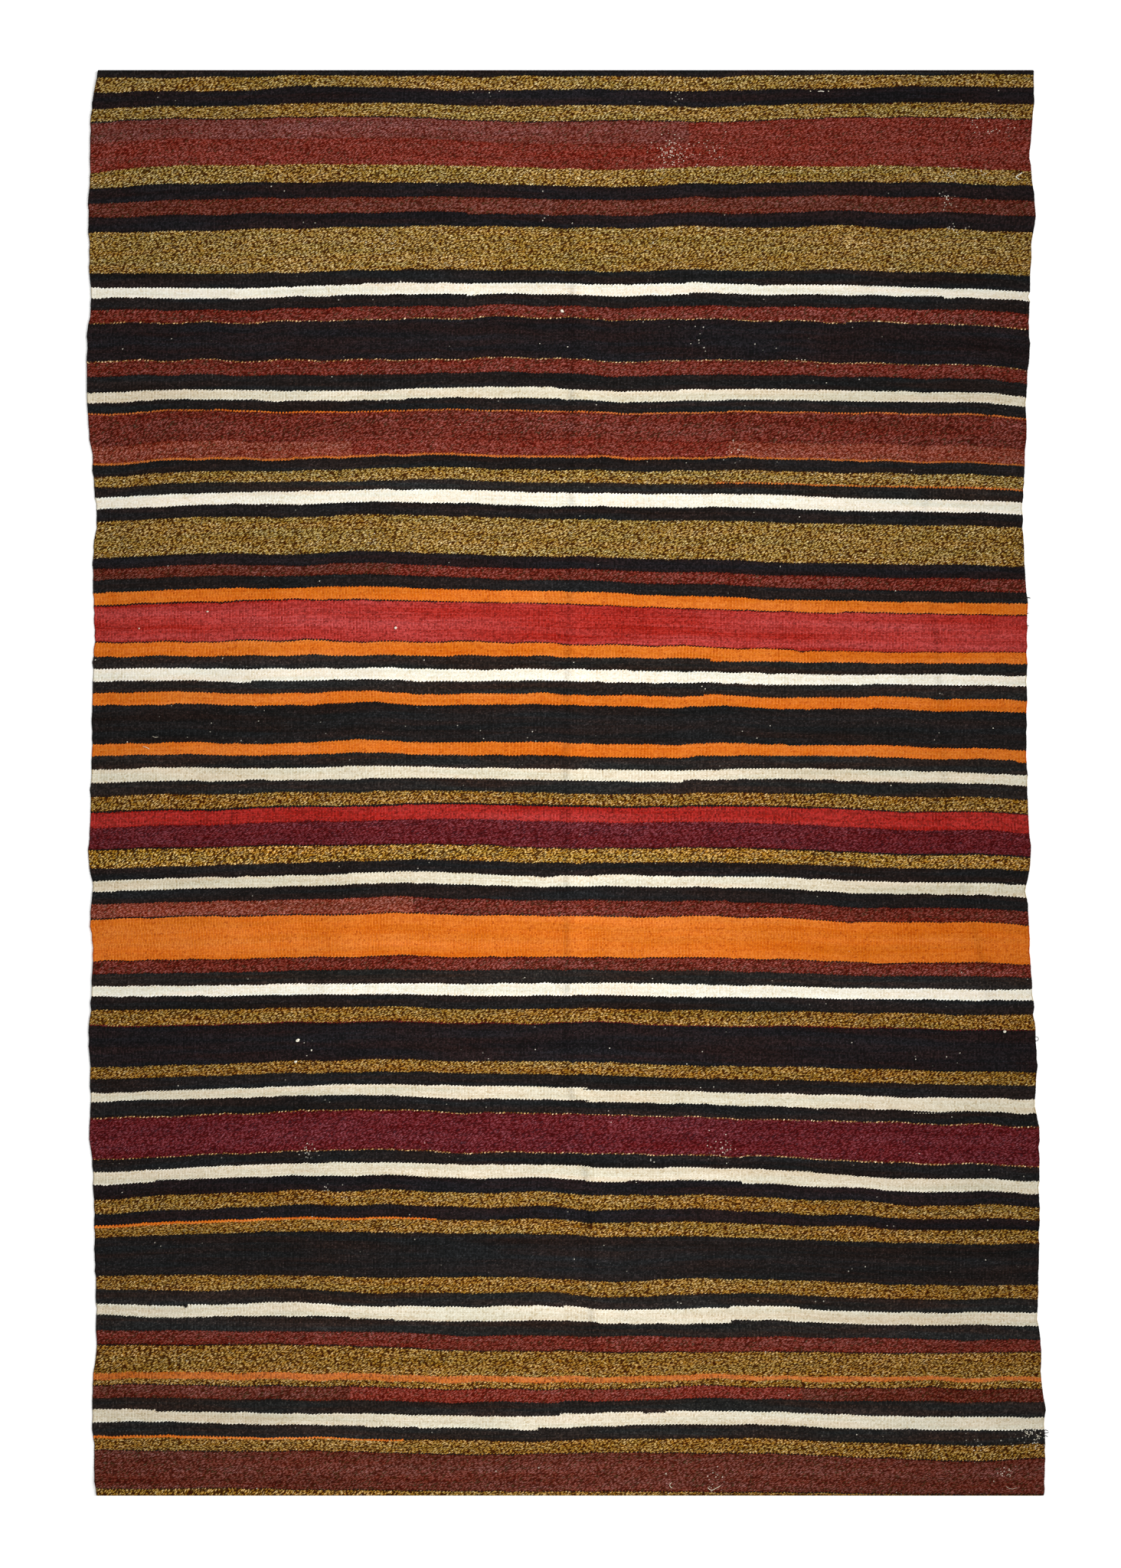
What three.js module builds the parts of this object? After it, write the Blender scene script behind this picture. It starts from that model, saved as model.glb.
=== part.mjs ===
// A Turkish kilim: one weft-faced striped wool cloth that lies flat, with both ends turned under and sewn down.
// Millimetres. +Z is up, +Y runs along the rug's length, and X runs across it, along the weft.
// The origin is under the middle of the rug, on the surface that it lies on.
import * as THREE from 'three';

// Driving sizes, in mm.
const LENGTH = 2606;
const CLOTH_THICKNESS = 2.4;
const HEM_DEPTH = 24;
const HEM_GAP = 0.3; // between the turned-under layer and the cloth that lies on it
const HEM_RISE = 34; // how far the cloth takes to climb from the surface on to its own hem

// How finely the surface is stepped.
const FIELD_STEP = 30;
const HEM_STEPS = 2;
const FOLD_STEPS = 6;
const RISE_STEPS = 4;

// The woven edges waver, because the weft was pulled in harder at some places than at others.
// down: distance from the top end; left, right: distance of that edge from the middle line.
const SELVEDGES = [
  { down: 0, left: 855, right: 854 },
  { down: 40, left: 861, right: 855 },
  { down: 95, left: 869, right: 853 },
  { down: 150, left: 869, right: 848 },
  { down: 265, left: 872, right: 858 },
  { down: 320, left: 871, right: 850 },
  { down: 430, left: 868, right: 846 },
  { down: 490, left: 874, right: 847 },
  { down: 600, left: 875, right: 841 },
  { down: 655, left: 872, right: 841 },
  { down: 710, left: 865, right: 839 },
  { down: 825, left: 857, right: 834 },
  { down: 880, left: 864, right: 837 },
  { down: 990, left: 862, right: 843 },
  { down: 1215, left: 865, right: 841 },
  { down: 1325, left: 868, right: 843 },
  { down: 1440, left: 872, right: 850 },
  { down: 1495, left: 864, right: 841 },
  { down: 1550, left: 869, right: 846 },
  { down: 1605, left: 864, right: 848 },
  { down: 1775, left: 871, right: 858 },
  { down: 1830, left: 869, right: 860 },
  { down: 1885, left: 869, right: 857 },
  { down: 1945, left: 871, right: 865 },
  { down: 2000, left: 865, right: 865 },
  { down: 2110, left: 861, right: 865 },
  { down: 2280, left: 858, right: 862 },
  { down: 2335, left: 858, right: 868 },
  { down: 2390, left: 864, right: 868 },
  { down: 2445, left: 865, right: 875 },
  { down: 2560, left: 862, right: 875 },
  { down: LENGTH, left: 858, right: 874 },
];

// Soft creases that years of folded storage left. Each lifts the cloth a little along a line down the rug.
// height: lift at its middle; reach: half its width; path: its place across the rug, at places down from the top end.
const CREASES = [
  // The fold down the middle, where the rug is doubled.
  {
    height: 2.0,
    reach: 32,
    path: [
      { down: 0, across: 20 },
      { down: 700, across: 14 },
      { down: 1300, across: -4 },
      { down: 1780, across: -2 },
      { down: 2100, across: 44 },
      { down: LENGTH, across: 60 },
    ],
    ends: { from: 120, to: 2500 },
  },
  // The fold that runs out to the right selvedge.
  {
    height: 1.8,
    reach: 40,
    path: [
      { down: 0, across: 655 },
      { down: 760, across: 665 },
      { down: 1300, across: 700 },
      { down: 1750, across: 785 },
      { down: LENGTH, across: 800 },
    ],
    ends: { from: 500, to: 1800 },
  },
];
const CREASE_FADE = 200; // a crease rises from nothing over this length at both its ends
const CREASE_OFFSETS = [-1, -0.5, 0, 0.5, 1]; // columns across each crease, as shares of its reach
const SPAN_STEPS = [6, 5, 1]; // even columns from the left edge to the first crease, to the second, to the right edge

const WOOL = new THREE.MeshStandardMaterial({ color: 0x5a3a26, roughness: 0.95, metalness: 0 });

function between(rows, down, column) {
  const last = rows.length - 1;
  if (down <= rows[0].down) return rows[0][column];
  if (down >= rows[last].down) return rows[last][column];
  const next = rows.findIndex((row) => row.down >= down);
  const a = rows[next - 1];
  const b = rows[next];
  const share = THREE.MathUtils.smoothstep(down, a.down, b.down);
  return THREE.MathUtils.lerp(a[column], b[column], share);
}

function creaseLift(across, down) {
  let lift = 0;
  for (const crease of CREASES) {
    const away = Math.abs(across - between(crease.path, down, 'across')) / crease.reach;
    if (away >= 1) continue;
    const starts = THREE.MathUtils.smoothstep(down, crease.ends.from, crease.ends.from + CREASE_FADE);
    const stops = THREE.MathUtils.smoothstep(down, crease.ends.to - CREASE_FADE, crease.ends.to);
    lift += crease.height * starts * (1 - stops) * 0.5 * (1 + Math.cos(Math.PI * away));
  }
  return lift;
}

// The places across the rug of every lengthwise column: even between the creases, and close together on them.
function columnsAcross(down) {
  const stops = [{ from: -between(SELVEDGES, down, 'left'), to: -between(SELVEDGES, down, 'left') }];
  for (const crease of CREASES) {
    const middle = between(crease.path, down, 'across');
    stops.push({ from: middle - crease.reach, to: middle + crease.reach, middle, reach: crease.reach });
  }
  const right = between(SELVEDGES, down, 'right');
  stops.push({ from: right, to: right });

  const columns = [stops[0].from];
  for (let s = 1; s < stops.length; s += 1) {
    const steps = SPAN_STEPS[s - 1];
    for (let k = 1; k < steps; k += 1) {
      columns.push(THREE.MathUtils.lerp(stops[s - 1].to, stops[s].from, k / steps));
    }
    if (stops[s].reach) {
      for (const offset of CREASE_OFFSETS) columns.push(stops[s].middle + offset * stops[s].reach);
    } else {
      columns.push(stops[s].from);
    }
  }
  return columns;
}

// One end of the cloth's middle surface as seen from the side, from the hem's raw edge round the fold to the field.
// along: distance in from the rug's end; up: height; inward, rise: the cloth's outward-facing normal in that plane.
function hemProfile() {
  const half = CLOTH_THICKNESS / 2;
  const foldRadius = (CLOTH_THICKNESS + HEM_GAP) / 2;
  const foldCentre = foldRadius + half;
  const rows = [];
  for (let k = 0; k <= HEM_STEPS; k += 1) {
    const along = THREE.MathUtils.lerp(HEM_DEPTH, foldCentre, k / HEM_STEPS);
    rows.push({ along, up: half, inward: 0, rise: -1 });
  }
  for (let k = 1; k < FOLD_STEPS; k += 1) {
    const turn = (Math.PI * k) / FOLD_STEPS;
    rows.push({
      along: foldCentre - foldRadius * Math.sin(turn),
      up: half + foldRadius * (1 - Math.cos(turn)),
      inward: -Math.sin(turn),
      rise: -Math.cos(turn),
    });
  }
  const raised = half + 2 * foldRadius;
  for (let k = 0; k <= HEM_STEPS; k += 1) {
    const along = THREE.MathUtils.lerp(foldCentre, HEM_DEPTH, k / HEM_STEPS);
    rows.push({ along, up: raised, inward: 0, rise: 1 });
  }
  for (let k = 1; k <= RISE_STEPS; k += 1) {
    const share = k / RISE_STEPS;
    const up = THREE.MathUtils.lerp(raised, half, THREE.MathUtils.smoothstep(share, 0, 1));
    rows.push({ along: HEM_DEPTH + HEM_RISE * share, up, inward: 0, rise: 1 });
  }
  return rows;
}

// Every crosswise row of the cloth, from the raw edge under the top end to the raw edge under the bottom end.
function clothRows() {
  const end = hemProfile();
  const top = end.map((row) => ({ down: row.along, up: row.up, back: row.inward, rise: row.rise }));
  const bottom = end.map((row) => ({ down: LENGTH - row.along, up: row.up, back: -row.inward, rise: row.rise }));
  const first = top[top.length - 1].down;
  const last = bottom[bottom.length - 1].down;
  const steps = Math.round((last - first) / FIELD_STEP);
  const field = [];
  for (let k = 1; k < steps; k += 1) {
    const down = THREE.MathUtils.lerp(first, last, k / steps);
    field.push({ down, up: CLOTH_THICKNESS / 2, back: 0, rise: 1 });
  }
  return [...top, ...field, ...bottom.reverse()];
}

// The points of both skins of the cloth: the outward one first, then the one that faces the hem's slit and the floor.
function skinPoints(rows) {
  const half = CLOTH_THICKNESS / 2;
  const points = [];
  for (const side of [1, -1]) {
    for (const row of rows) {
      for (const across of columnsAcross(row.down)) {
        const down = row.down + side * half * row.back;
        const up = row.up + side * half * row.rise + creaseLift(across, row.down);
        points.push(across, LENGTH / 2 - down, up);
      }
    }
  }
  return points;
}

// The faces of both skins, of the two selvedges and of the hems' two raw edges, all turned outwards.
function skinFaces(rowCount, columnCount) {
  const index = [];
  const quad = (a, b, c, d) => index.push(a, b, c, a, c, d);
  const outer = (row, column) => row * columnCount + column;
  const inner = (row, column) => (rowCount + row) * columnCount + column;
  const right = columnCount - 1;
  const foot = rowCount - 1;
  for (let r = 0; r < foot; r += 1) {
    for (let c = 0; c < right; c += 1) {
      quad(outer(r, c), outer(r + 1, c), outer(r + 1, c + 1), outer(r, c + 1));
      quad(inner(r, c), inner(r, c + 1), inner(r + 1, c + 1), inner(r + 1, c));
    }
    quad(outer(r, 0), inner(r, 0), inner(r + 1, 0), outer(r + 1, 0));
    quad(outer(r, right), outer(r + 1, right), inner(r + 1, right), inner(r, right));
  }
  for (let c = 0; c < right; c += 1) {
    quad(outer(0, c), outer(0, c + 1), inner(0, c + 1), inner(0, c));
    quad(outer(foot, c), inner(foot, c), inner(foot, c + 1), outer(foot, c + 1));
  }
  return index;
}

function kilimGeometry() {
  const rows = clothRows();
  const columnCount = columnsAcross(0).length;
  const geometry = new THREE.BufferGeometry();
  geometry.setAttribute('position', new THREE.Float32BufferAttribute(skinPoints(rows), 3));
  geometry.setIndex(skinFaces(rows.length, columnCount));
  geometry.computeVertexNormals();
  return geometry;
}

const kilim = new THREE.Mesh(kilimGeometry(), WOOL);
kilim.name = 'kilim';

const rug = new THREE.Group();
rug.add(kilim);

export default rug;
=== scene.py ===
# A Turkish kilim, laid flat on a pale floor and seen from straight above. It is one weft-faced wool cloth.
# The weaver's plan of stripes, the waver of the beaten weft and the folds that storage left are short tables
# below, and the rest is worked out from them. Metres outside the tables, millimetres inside them. +X runs
# along the weft, +Y towards the top end, +Z is up.
import math
from collections import namedtuple

import bpy
import numpy as np
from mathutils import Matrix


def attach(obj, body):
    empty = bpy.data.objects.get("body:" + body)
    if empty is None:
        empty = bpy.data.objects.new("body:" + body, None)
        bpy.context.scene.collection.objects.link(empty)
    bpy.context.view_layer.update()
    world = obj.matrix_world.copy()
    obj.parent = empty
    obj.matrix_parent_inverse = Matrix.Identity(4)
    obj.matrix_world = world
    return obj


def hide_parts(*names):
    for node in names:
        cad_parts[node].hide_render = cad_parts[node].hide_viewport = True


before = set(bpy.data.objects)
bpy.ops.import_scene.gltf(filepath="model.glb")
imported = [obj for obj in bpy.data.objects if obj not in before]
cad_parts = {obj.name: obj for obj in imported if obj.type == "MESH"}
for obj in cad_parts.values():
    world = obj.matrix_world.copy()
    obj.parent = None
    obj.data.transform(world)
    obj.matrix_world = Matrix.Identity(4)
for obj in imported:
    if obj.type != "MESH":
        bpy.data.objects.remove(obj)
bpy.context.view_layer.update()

MM = 0.001
SEED = 1724

# The cloth's own sizes, in mm.
LENGTH = 2606
WOVEN_WIDTH = 1722
THICKNESS = 2.4
HEM_DEPTH = 24
HEM_GAP = 0.3
HEM_RISE = 34

# The weave, in mm. A float is the stretch of weft that shows as it passes over one warp. A grain is the
# stretch of one strand that shows as it winds round a marled yarn, and it slants up to the right.
WARP_PITCH = 3.0
FLOAT_PITCH = 2.5
GRAIN_LENGTH = 6.2
GRAIN_THICKNESS = 1.7
GRAIN_SLANT = 26
RIB_HEIGHT = 0.34
FLOAT_HEIGHT = 0.22
GRAIN_HEIGHT = 0.5
FIBRE_HEIGHT = 0.07

# How the photograph frames it.
PHOTO_WIDTH = 1464
PHOTO_HEIGHT = 2048
MM_PER_PIXEL = 1.4
RUG_MIDDLE_PIXEL = (739, 1022.5)

# The dyed yarns. body and ply are the two strands that are twisted together, and fleck is wool of another
# batch that went in with them. share and flecks are how much of ply and fleck shows. marl is 1 where the
# strands show as grains. streak is how far one pick's shade strays from the next, tint how far its hue does,
# and worn how often a warp shows. coarse is the size of its grains as a share of the largest.
# ply is also the colour of the painted shade between grains and on the strands at the selvedges and hems.
Yarn = namedtuple("Yarn", "body ply fleck share flecks marl streak tint worn coarse")
YARNS = {
    "black": Yarn("#1f1c1b", "#141211", "#2f2b2a", 0.50, 0.14, 0.15, 0.50, 0.75, 1.00, 0.70),
    "deep black": Yarn("#1f191a", "#120f0f", "#2b2426", 0.50, 0.14, 0.15, 0.50, 0.75, 1.00, 0.70),
    "faded black": Yarn("#272320", "#1a1715", "#3a3430", 0.50, 0.14, 0.15, 0.50, 0.75, 1.00, 0.70),
    "gold": Yarn("#ad8e47", "#462e08", "#8a7444", 0.12, 0.16, 1.00, 0.30, 0.36, 0.20, 1.00),
    "saffron": Yarn("#bb8f3a", "#482e08", "#8a7040", 0.12, 0.16, 1.00, 0.30, 0.36, 0.20, 1.00),
    "olive": Yarn("#a88138", "#442a06", "#866832", 0.12, 0.16, 1.00, 0.30, 0.36, 0.20, 1.00),
    "gold line": Yarn("#c09a60", "#4a2418", "#a07c48", 0.36, 0.10, 0.85, 0.40, 0.20, 0.00, 1.25),
    "brick": Yarn("#843c31", "#4c190e", "#563828", 0.22, 0.16, 0.80, 0.34, 0.36, 0.30, 1.00),
    "rose brick": Yarn("#7e4840", "#4c1f19", "#5a4434", 0.22, 0.16, 0.80, 0.34, 0.36, 0.40, 1.00),
    "tile": Yarn("#905040", "#5c2519", "#664a36", 0.22, 0.16, 0.80, 0.34, 0.36, 0.40, 1.00),
    "maroon": Yarn("#7a392f", "#43170c", "#4a3424", 0.24, 0.18, 0.82, 0.50, 0.36, 0.30, 1.05),
    "brown brick": Yarn("#6f3b30", "#3f190f", "#483622", 0.24, 0.18, 0.80, 0.50, 0.36, 0.30, 1.05),
    "wine": Yarn("#6b292e", "#411012", "#3c1c22", 0.26, 0.16, 0.82, 0.50, 0.32, 0.30, 1.05),
    "bright cream": Yarn("#ddd8c9", "#d7d0bc", "#d2c8b0", 0.40, 0.04, 0.00, 0.16, 0.10, 0.00, 0.80),
    "cream": Yarn("#cec6b1", "#c5bba3", "#bdb094", 0.40, 0.06, 0.00, 0.24, 0.10, 0.00, 0.80),
    "orange": Yarn("#c86d24", "#bb5f1d", "#a7501b", 0.40, 0.05, 0.05, 0.26, 0.10, 0.04, 0.80),
    "rust line": Yarn("#ba6b31", "#9c562a", "#74401f", 0.40, 0.10, 0.10, 0.25, 0.15, 0.05, 0.80),
    "crimson": Yarn("#a73934", "#8b2a25", "#70231e", 0.45, 0.10, 0.10, 0.60, 0.14, 0.06, 0.80),
    "scarlet": Yarn("#a22e2a", "#82241f", "#661c1a", 0.45, 0.12, 0.10, 0.40, 0.12, 0.06, 0.80),
}
YARN_NAMES = list(YARNS)

# The stripes' sides are worked out at places this far apart across the rug, to this far from its middle line.
NET_STEP = 5
NET_REACH = 900

# The weaver's plan from the top end down: each stripe's yarn and its width near the left edge, in the middle
# and near the right edge. Between two places across, start and stop, the yarn is the one that instead names.
WHOLE_WAY = (None, -NET_REACH, NET_REACH)
Stripe = namedtuple("Stripe", "yarn left middle right instead start stop", defaults=WHOLE_WAY)
PLAN = [
    Stripe("black", 14.5, 12, 9),
    Stripe("gold", 25.5, 23.5, 22.5),
    Stripe("deep black", 30, 29.5, 30),
    Stripe("gold", 22.5, 27, 26),
    Stripe("black", 2.5, 1.8, 1.8),
    Stripe("rose brick", 38, 40, 44, "brick", 220),
    Stripe("brick", 51.5, 45.5, 48),
    Stripe("gold", 30.5, 31.5, 28),
    Stripe("deep black", 28.5, 25, 27.5),
    Stripe("brown brick", 25.5, 28.5, 28),
    Stripe("deep black", 28, 23.5, 31),
    Stripe("gold", 73, 79, 79.5),
    Stripe("black", 26, 24, 30),
    Stripe("bright cream", 18.5, 20, 15.5),
    Stripe("black", 22, 22, 24),
    Stripe("maroon", 23, 21, 27),
    Stripe("gold line", 1.7, 1.3, 1.4),
    Stripe("deep black", 68, 74.5, 73),
    Stripe("gold line", 1.8, 1.5, 1.4),
    Stripe("maroon", 25.5, 25.5, 24),
    Stripe("black", 29, 27.5, 25),
    Stripe("cream", 18, 19.5, 18),
    Stripe("black", 20, 21.5, 20.5),
    Stripe("rust line", 2.2, 1.8, 2.2, "orange", -644, -307),
    Stripe("maroon", 57.5, 52, 55.5),
    Stripe("tile", 31.5, 27, 28, "brick", -400, 290),
    Stripe("rust line", 3.6, 3.5, 2.1),
    Stripe("black", 22, 22.5, 21),
    Stripe("gold", 18.5, 21.5, 21.5),
    Stripe("gold", 1.5, 1.5, 2.7, "rust line", 265),
    Stripe("faded black", 19.5, 18.5, 22),
    Stripe("bright cream", 21.5, 24, 21.5),
    Stripe("black", 23, 24, 24),
    Stripe("gold", 66.5, 67.5, 70),
    Stripe("deep black", 20.5, 23, 24.5),
    Stripe("maroon", 20, 20, 22.5, "brown brick", -900, -320),
    Stripe("black", 23.5, 21.5, 20.5),
    Stripe("orange", 22.5, 21, 19.5),
    Stripe("black", 3.1, 1.8, 2.0),
    Stripe("crimson", 62, 70, 70),
    Stripe("black", 2.2, 2.1, 1.4),
    Stripe("orange", 23.5, 23, 19.5),
    Stripe("faded black", 21, 23.5, 22),
    Stripe("bright cream", 22.5, 21.5, 18.5),
    Stripe("faded black", 21, 24, 26),
    Stripe("orange", 22.5, 19.5, 22),
    Stripe("black", 70, 69.5, 70),
    Stripe("orange", 21, 23.5, 20.5),
    Stripe("faded black", 24, 24, 25),
    Stripe("cream", 24.5, 20, 19),
    Stripe("faded black", 25, 23.5, 26),
    Stripe("olive", 26.5, 21, 24),
    Stripe("black", 3.6, 3.8, 2.2),
    Stripe("scarlet", 26.5, 26.5, 32),
    Stripe("wine", 40, 47.5, 40.5),
    Stripe("black", 2.7, 1.8, 3.1),
    Stripe("saffron", 33, 26, 22.5),
    Stripe("black", 22.5, 24.5, 25),
    Stripe("cream", 19.5, 19, 22.5),
    Stripe("black", 23.5, 26, 26),
    Stripe("tile", 25.5, 27, 24.5, "maroon", -290),
    Stripe("black", 2.4, 1.4, 1.4),
    Stripe("orange", 76, 74, 73.5),
    Stripe("black", 1.2, 1.4, 1.2),
    Stripe("maroon", 23, 21.5, 24),
    Stripe("faded black", 23.5, 25, 23),
    Stripe("bright cream", 18.5, 22, 19.5),
    Stripe("black", 26, 24.5, 26.5),
    Stripe("olive", 28, 25.5, 26.5),
    Stripe("wine", 1.7, 1.4, 1.4),
    Stripe("deep black", 75, 70, 76.5),
    Stripe("olive", 21.5, 22.5, 24),
    Stripe("black", 25.5, 24, 25),
    Stripe("cream", 16, 23.5, 25),
    Stripe("black", 30.5, 24, 23.5),
    Stripe("gold line", 1.8, 1.4, 1.6),
    Stripe("wine", 74.5, 70, 71),
    Stripe("gold line", 1.3, 1.5, 1.8),
    Stripe("black", 22.5, 22.5, 27),
    Stripe("cream", 20.5, 24, 22),
    Stripe("deep black", 27, 26, 24),
    Stripe("olive", 25, 25.5, 23.5),
    Stripe("deep black", 21.5, 22, 18),
    Stripe("orange", 4.5, 1.8, 1.6, "black", -250),
    Stripe("olive", 18, 25.5, 24),
    Stripe("black", 73, 79.5, 79.5),
    Stripe("olive", 23.5, 28, 25),
    Stripe("faded black", 25.5, 25, 25),
    Stripe("cream", 20, 26.5, 22.5),
    Stripe("faded black", 30, 27, 28),
    Stripe("maroon", 25.5, 28, 24),
    Stripe("black", 2.2, 1.8, 1.8),
    Stripe("olive", 48, 44, 42.5),
    Stripe("rust line", 12, 11, 7.5),
    Stripe("olive", 9, 11, 12),
    Stripe("black", 1.8, 1.2, 1.4),
    Stripe("brown brick", 22.5, 22, 23, "brick", -400, 420),
    Stripe("faded black", 22.5, 24, 27.5),
    Stripe("cream", 22, 23.5, 24),
    Stripe("faded black", 26, 22, 26.5),
    Stripe("orange", 4.5, 1.6, 1.8, "black", -300),
    Stripe("olive", 22.5, 24.5, 27),
    Stripe("black", 1.4, 1.4, 2.0),
    Stripe("brown brick", 66, 68, 60),
    Stripe("black", 1.2, 1.4, 1.4),
    Stripe("olive", 13, 7.5, 1.5),
]
WIDTHS_AT = (-833, 17, 823)

# How far the beaten weft strays down from straight along the upper side of some stripes, at places across the
# rug. The stripes go by their number in the plan.
BEAT_STATIONS = (-853, -755, -615, -475, -335, -195, -55, 85, 225, 365, 505, 645, 785, 841)
BEATEN = {
    2: (6, 3, 3, -5, -4, 1, 0, 0, 3, 0, -2, -6, -4, -3),
    7: (8, -3, -5, -7, -7, -5, -1, 3, -2, -4, -4, -3, 3, 5),
    13: (7, 7, 8, 4, -1, -1, -2, 1, -2, 2, 2, 7, 11, 15),
    21: (6, 1, 0, 2, 0, -4, -5, 2, 0, -1, 1, 4, 7, 14),
    31: (8, 3, -2, -4, -7, -7, -2, 0, 1, 2, 8, 11, 14, 17),
    39: (4, 0, -4, -8, -7, -4, -2, 3, 8, 13, 16, 18, 20, 20),
    43: (-1, -3, -1, -2, -3, 0, -1, 1, 4, 7, 9, 9, 11, 12),
    49: (1, -3, -2, -3, -6, -3, -1, 1, 2, -2, 0, 4, 8, 11),
    58: (9, 6, 2, -1, -7, -5, 1, -1, 1, 2, 8, 12, 14, 17),
    66: (7, 6, 5, 2, 1, 2, 1, 1, 3, 5, 9, 11, 12, 12),
    73: (12, 8, 3, -2, -4, -2, 0, 5, 8, 12, 15, 20, 21, 23),
    79: (14, 9, 1, -3, -5, -1, 0, 4, 5, 8, 18, 25, 26, 30),
    85: (8, 4, -1, -4, -2, 0, 1, 6, 5, 9, 14, 18, 20, 19),
    86: (-1, -3, -3, -2, 2, 0, 2, 9, 3, 5, 10, 15, 16, 15),
    89: (-11, -6, -8, -7, -3, 1, 0, 4, 5, 0, 6, 8, 8, 10),
    92: (-12, -11, -12, -12, -7, -1, -1, 3, 2, 1, 3, 4, 2, 1),
    98: (-7, -6, -2, 0, 1, 4, 4, -1, -4, -3, 2, 6, 6, 7),
    103: (-6, -5, -4, -4, -1, 3, 1, -1, 0, 1, 6, 12, 14, 10),
}

# Between those lines it wavers too, each time as a sum of waves of these lengths.
WAVER_WAVES = 4
WAVER_HEIGHT = 0.9
WAVER_LENGTHS = (120, 500)

# Where the weaver laid in a new length of weft, the side of a stripe steps down (or up, if less than 0) by a
# pick or two. These are the steps that show most, by the stripe whose upper side has them, as the place
# across and the step.
JOINS = {
    13: ((-365, -2), (215, -2.5)),
    14: ((-185, 3), (220, -3), (695, 3)),
    21: ((-310, -2), (-15, 2.5), (205, -2)),
    22: ((-290, -2.5), (-5, 2)),
    37: ((-305, 2), (125, 2)),
    42: ((270, 4),),
    44: ((-580, -3), (65, 2), (280, 2.5)),
    45: ((250, -3), (670, 2)),
    48: ((240, -2.5), (820, 3)),
    50: ((-550, 2.5), (220, -3.5), (500, 2.5)),
    58: ((-310, -2), (-10, -2.5)),
    66: ((265, 2.5),),
    73: ((-295, 2), (35, 3.5), (540, 2)),
    74: ((-305, 2.5), (40, 3), (405, 2)),
    79: ((45, 2.5), (450, 2.5), (520, 2)),
    80: ((-745, -3), (35, 2.5), (115, -2.5), (325, 4)),
    88: ((-690, -4), (-5, -3.5), (305, -3), (425, 3)),
    89: ((-400, 4), (-310, 3), (55, 2.5), (305, -5)),
    98: ((-750, 3.5), (-5, -3), (135, 3), (185, -3)),
    99: ((-360, 3), (-270, 3), (-55, -4.5)),
}
JOIN_PLACES = (-500, -310, -150, -5, 45, 215, 300, 430, 520)  # the weaver's hands met about here on most picks
SMALL_JOINS = 3  # on each side that the table leaves out
JOIN_STRAY = 25
JOIN_JUMP = 1.5
JOIN_FADE = 80  # the weft eases back to its line over about this length on each side of a join
SHARP_JOIN = 2.9  # a step of less than this is packed smooth by the beating
THIN_STRIPE = 5

# The woven edges: distance down from the top end, and of the left and right selvedge from the middle line.
Selvedge = namedtuple("Selvedge", "down left right")
SELVEDGES = [
    Selvedge(0, 855, 854),
    Selvedge(40, 861, 855),
    Selvedge(95, 869, 853),
    Selvedge(150, 869, 848),
    Selvedge(265, 872, 858),
    Selvedge(320, 871, 850),
    Selvedge(430, 868, 846),
    Selvedge(490, 874, 847),
    Selvedge(600, 875, 841),
    Selvedge(655, 872, 841),
    Selvedge(710, 865, 839),
    Selvedge(825, 857, 834),
    Selvedge(880, 864, 837),
    Selvedge(990, 862, 843),
    Selvedge(1215, 865, 841),
    Selvedge(1325, 868, 843),
    Selvedge(1440, 872, 850),
    Selvedge(1495, 864, 841),
    Selvedge(1550, 869, 846),
    Selvedge(1605, 864, 848),
    Selvedge(1775, 871, 858),
    Selvedge(1830, 869, 860),
    Selvedge(1885, 869, 857),
    Selvedge(1945, 871, 865),
    Selvedge(2000, 865, 865),
    Selvedge(2110, 861, 865),
    Selvedge(2280, 858, 862),
    Selvedge(2335, 858, 868),
    Selvedge(2390, 864, 868),
    Selvedge(2445, 865, 875),
    Selvedge(2560, 862, 875),
    Selvedge(LENGTH, 858, 874),
]

# How much further out the turns of some yarns stand at the selvedges than the rest, in mm.
STANDING = {"black": 0.8, "deep black": 0.8, "faded black": 0.8, "cream": -0.4, "bright cream": -0.4}
# Some turns of weft were also pulled tighter than others, by about this much every so far, in mm.
PULLED = 0.8
PULLED_EVERY = 9.0
NEAR_SELVEDGES = (-860, 855)

# Where the weft is rubbed thin enough for many pale warps to show: the middle of each place, how far it
# reaches, and the share of the floats that are gone there.
Rubbed = namedtuple("Rubbed", "across down reach share")
RUBBED = [
    Rubbed(200, 42, 14, 0.15),
    Rubbed(196, 152, 26, 0.28),
    Rubbed(270, 148, 22, 0.12),
    Rubbed(745, 98, 20, 0.10),
    Rubbed(795, 103, 20, 0.14),
    Rubbed(705, 190, 13, 0.34),
    Rubbed(758, 188, 10, 0.30),
    Rubbed(697, 238, 9, 0.50),
    Rubbed(708, 292, 9, 0.40),
    Rubbed(-330, 320, 26, 0.12),
    Rubbed(160, 321, 14, 0.06),
    Rubbed(240, 492, 22, 0.05),
    Rubbed(360, 516, 18, 0.06),
    Rubbed(310, 690, 14, 0.15),
    Rubbed(-350, 862, 14, 0.12),
    Rubbed(-470, 1976, 12, 0.25),
    Rubbed(285, 1968, 20, 0.18),
    Rubbed(-430, 2052, 14, 0.15),
    Rubbed(855, 2498, 22, 0.25),
    Rubbed(750, 2522, 16, 0.25),
    Rubbed(275, 2580, 16, 0.18),
    Rubbed(800, 2562, 14, 0.15),
]

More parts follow.
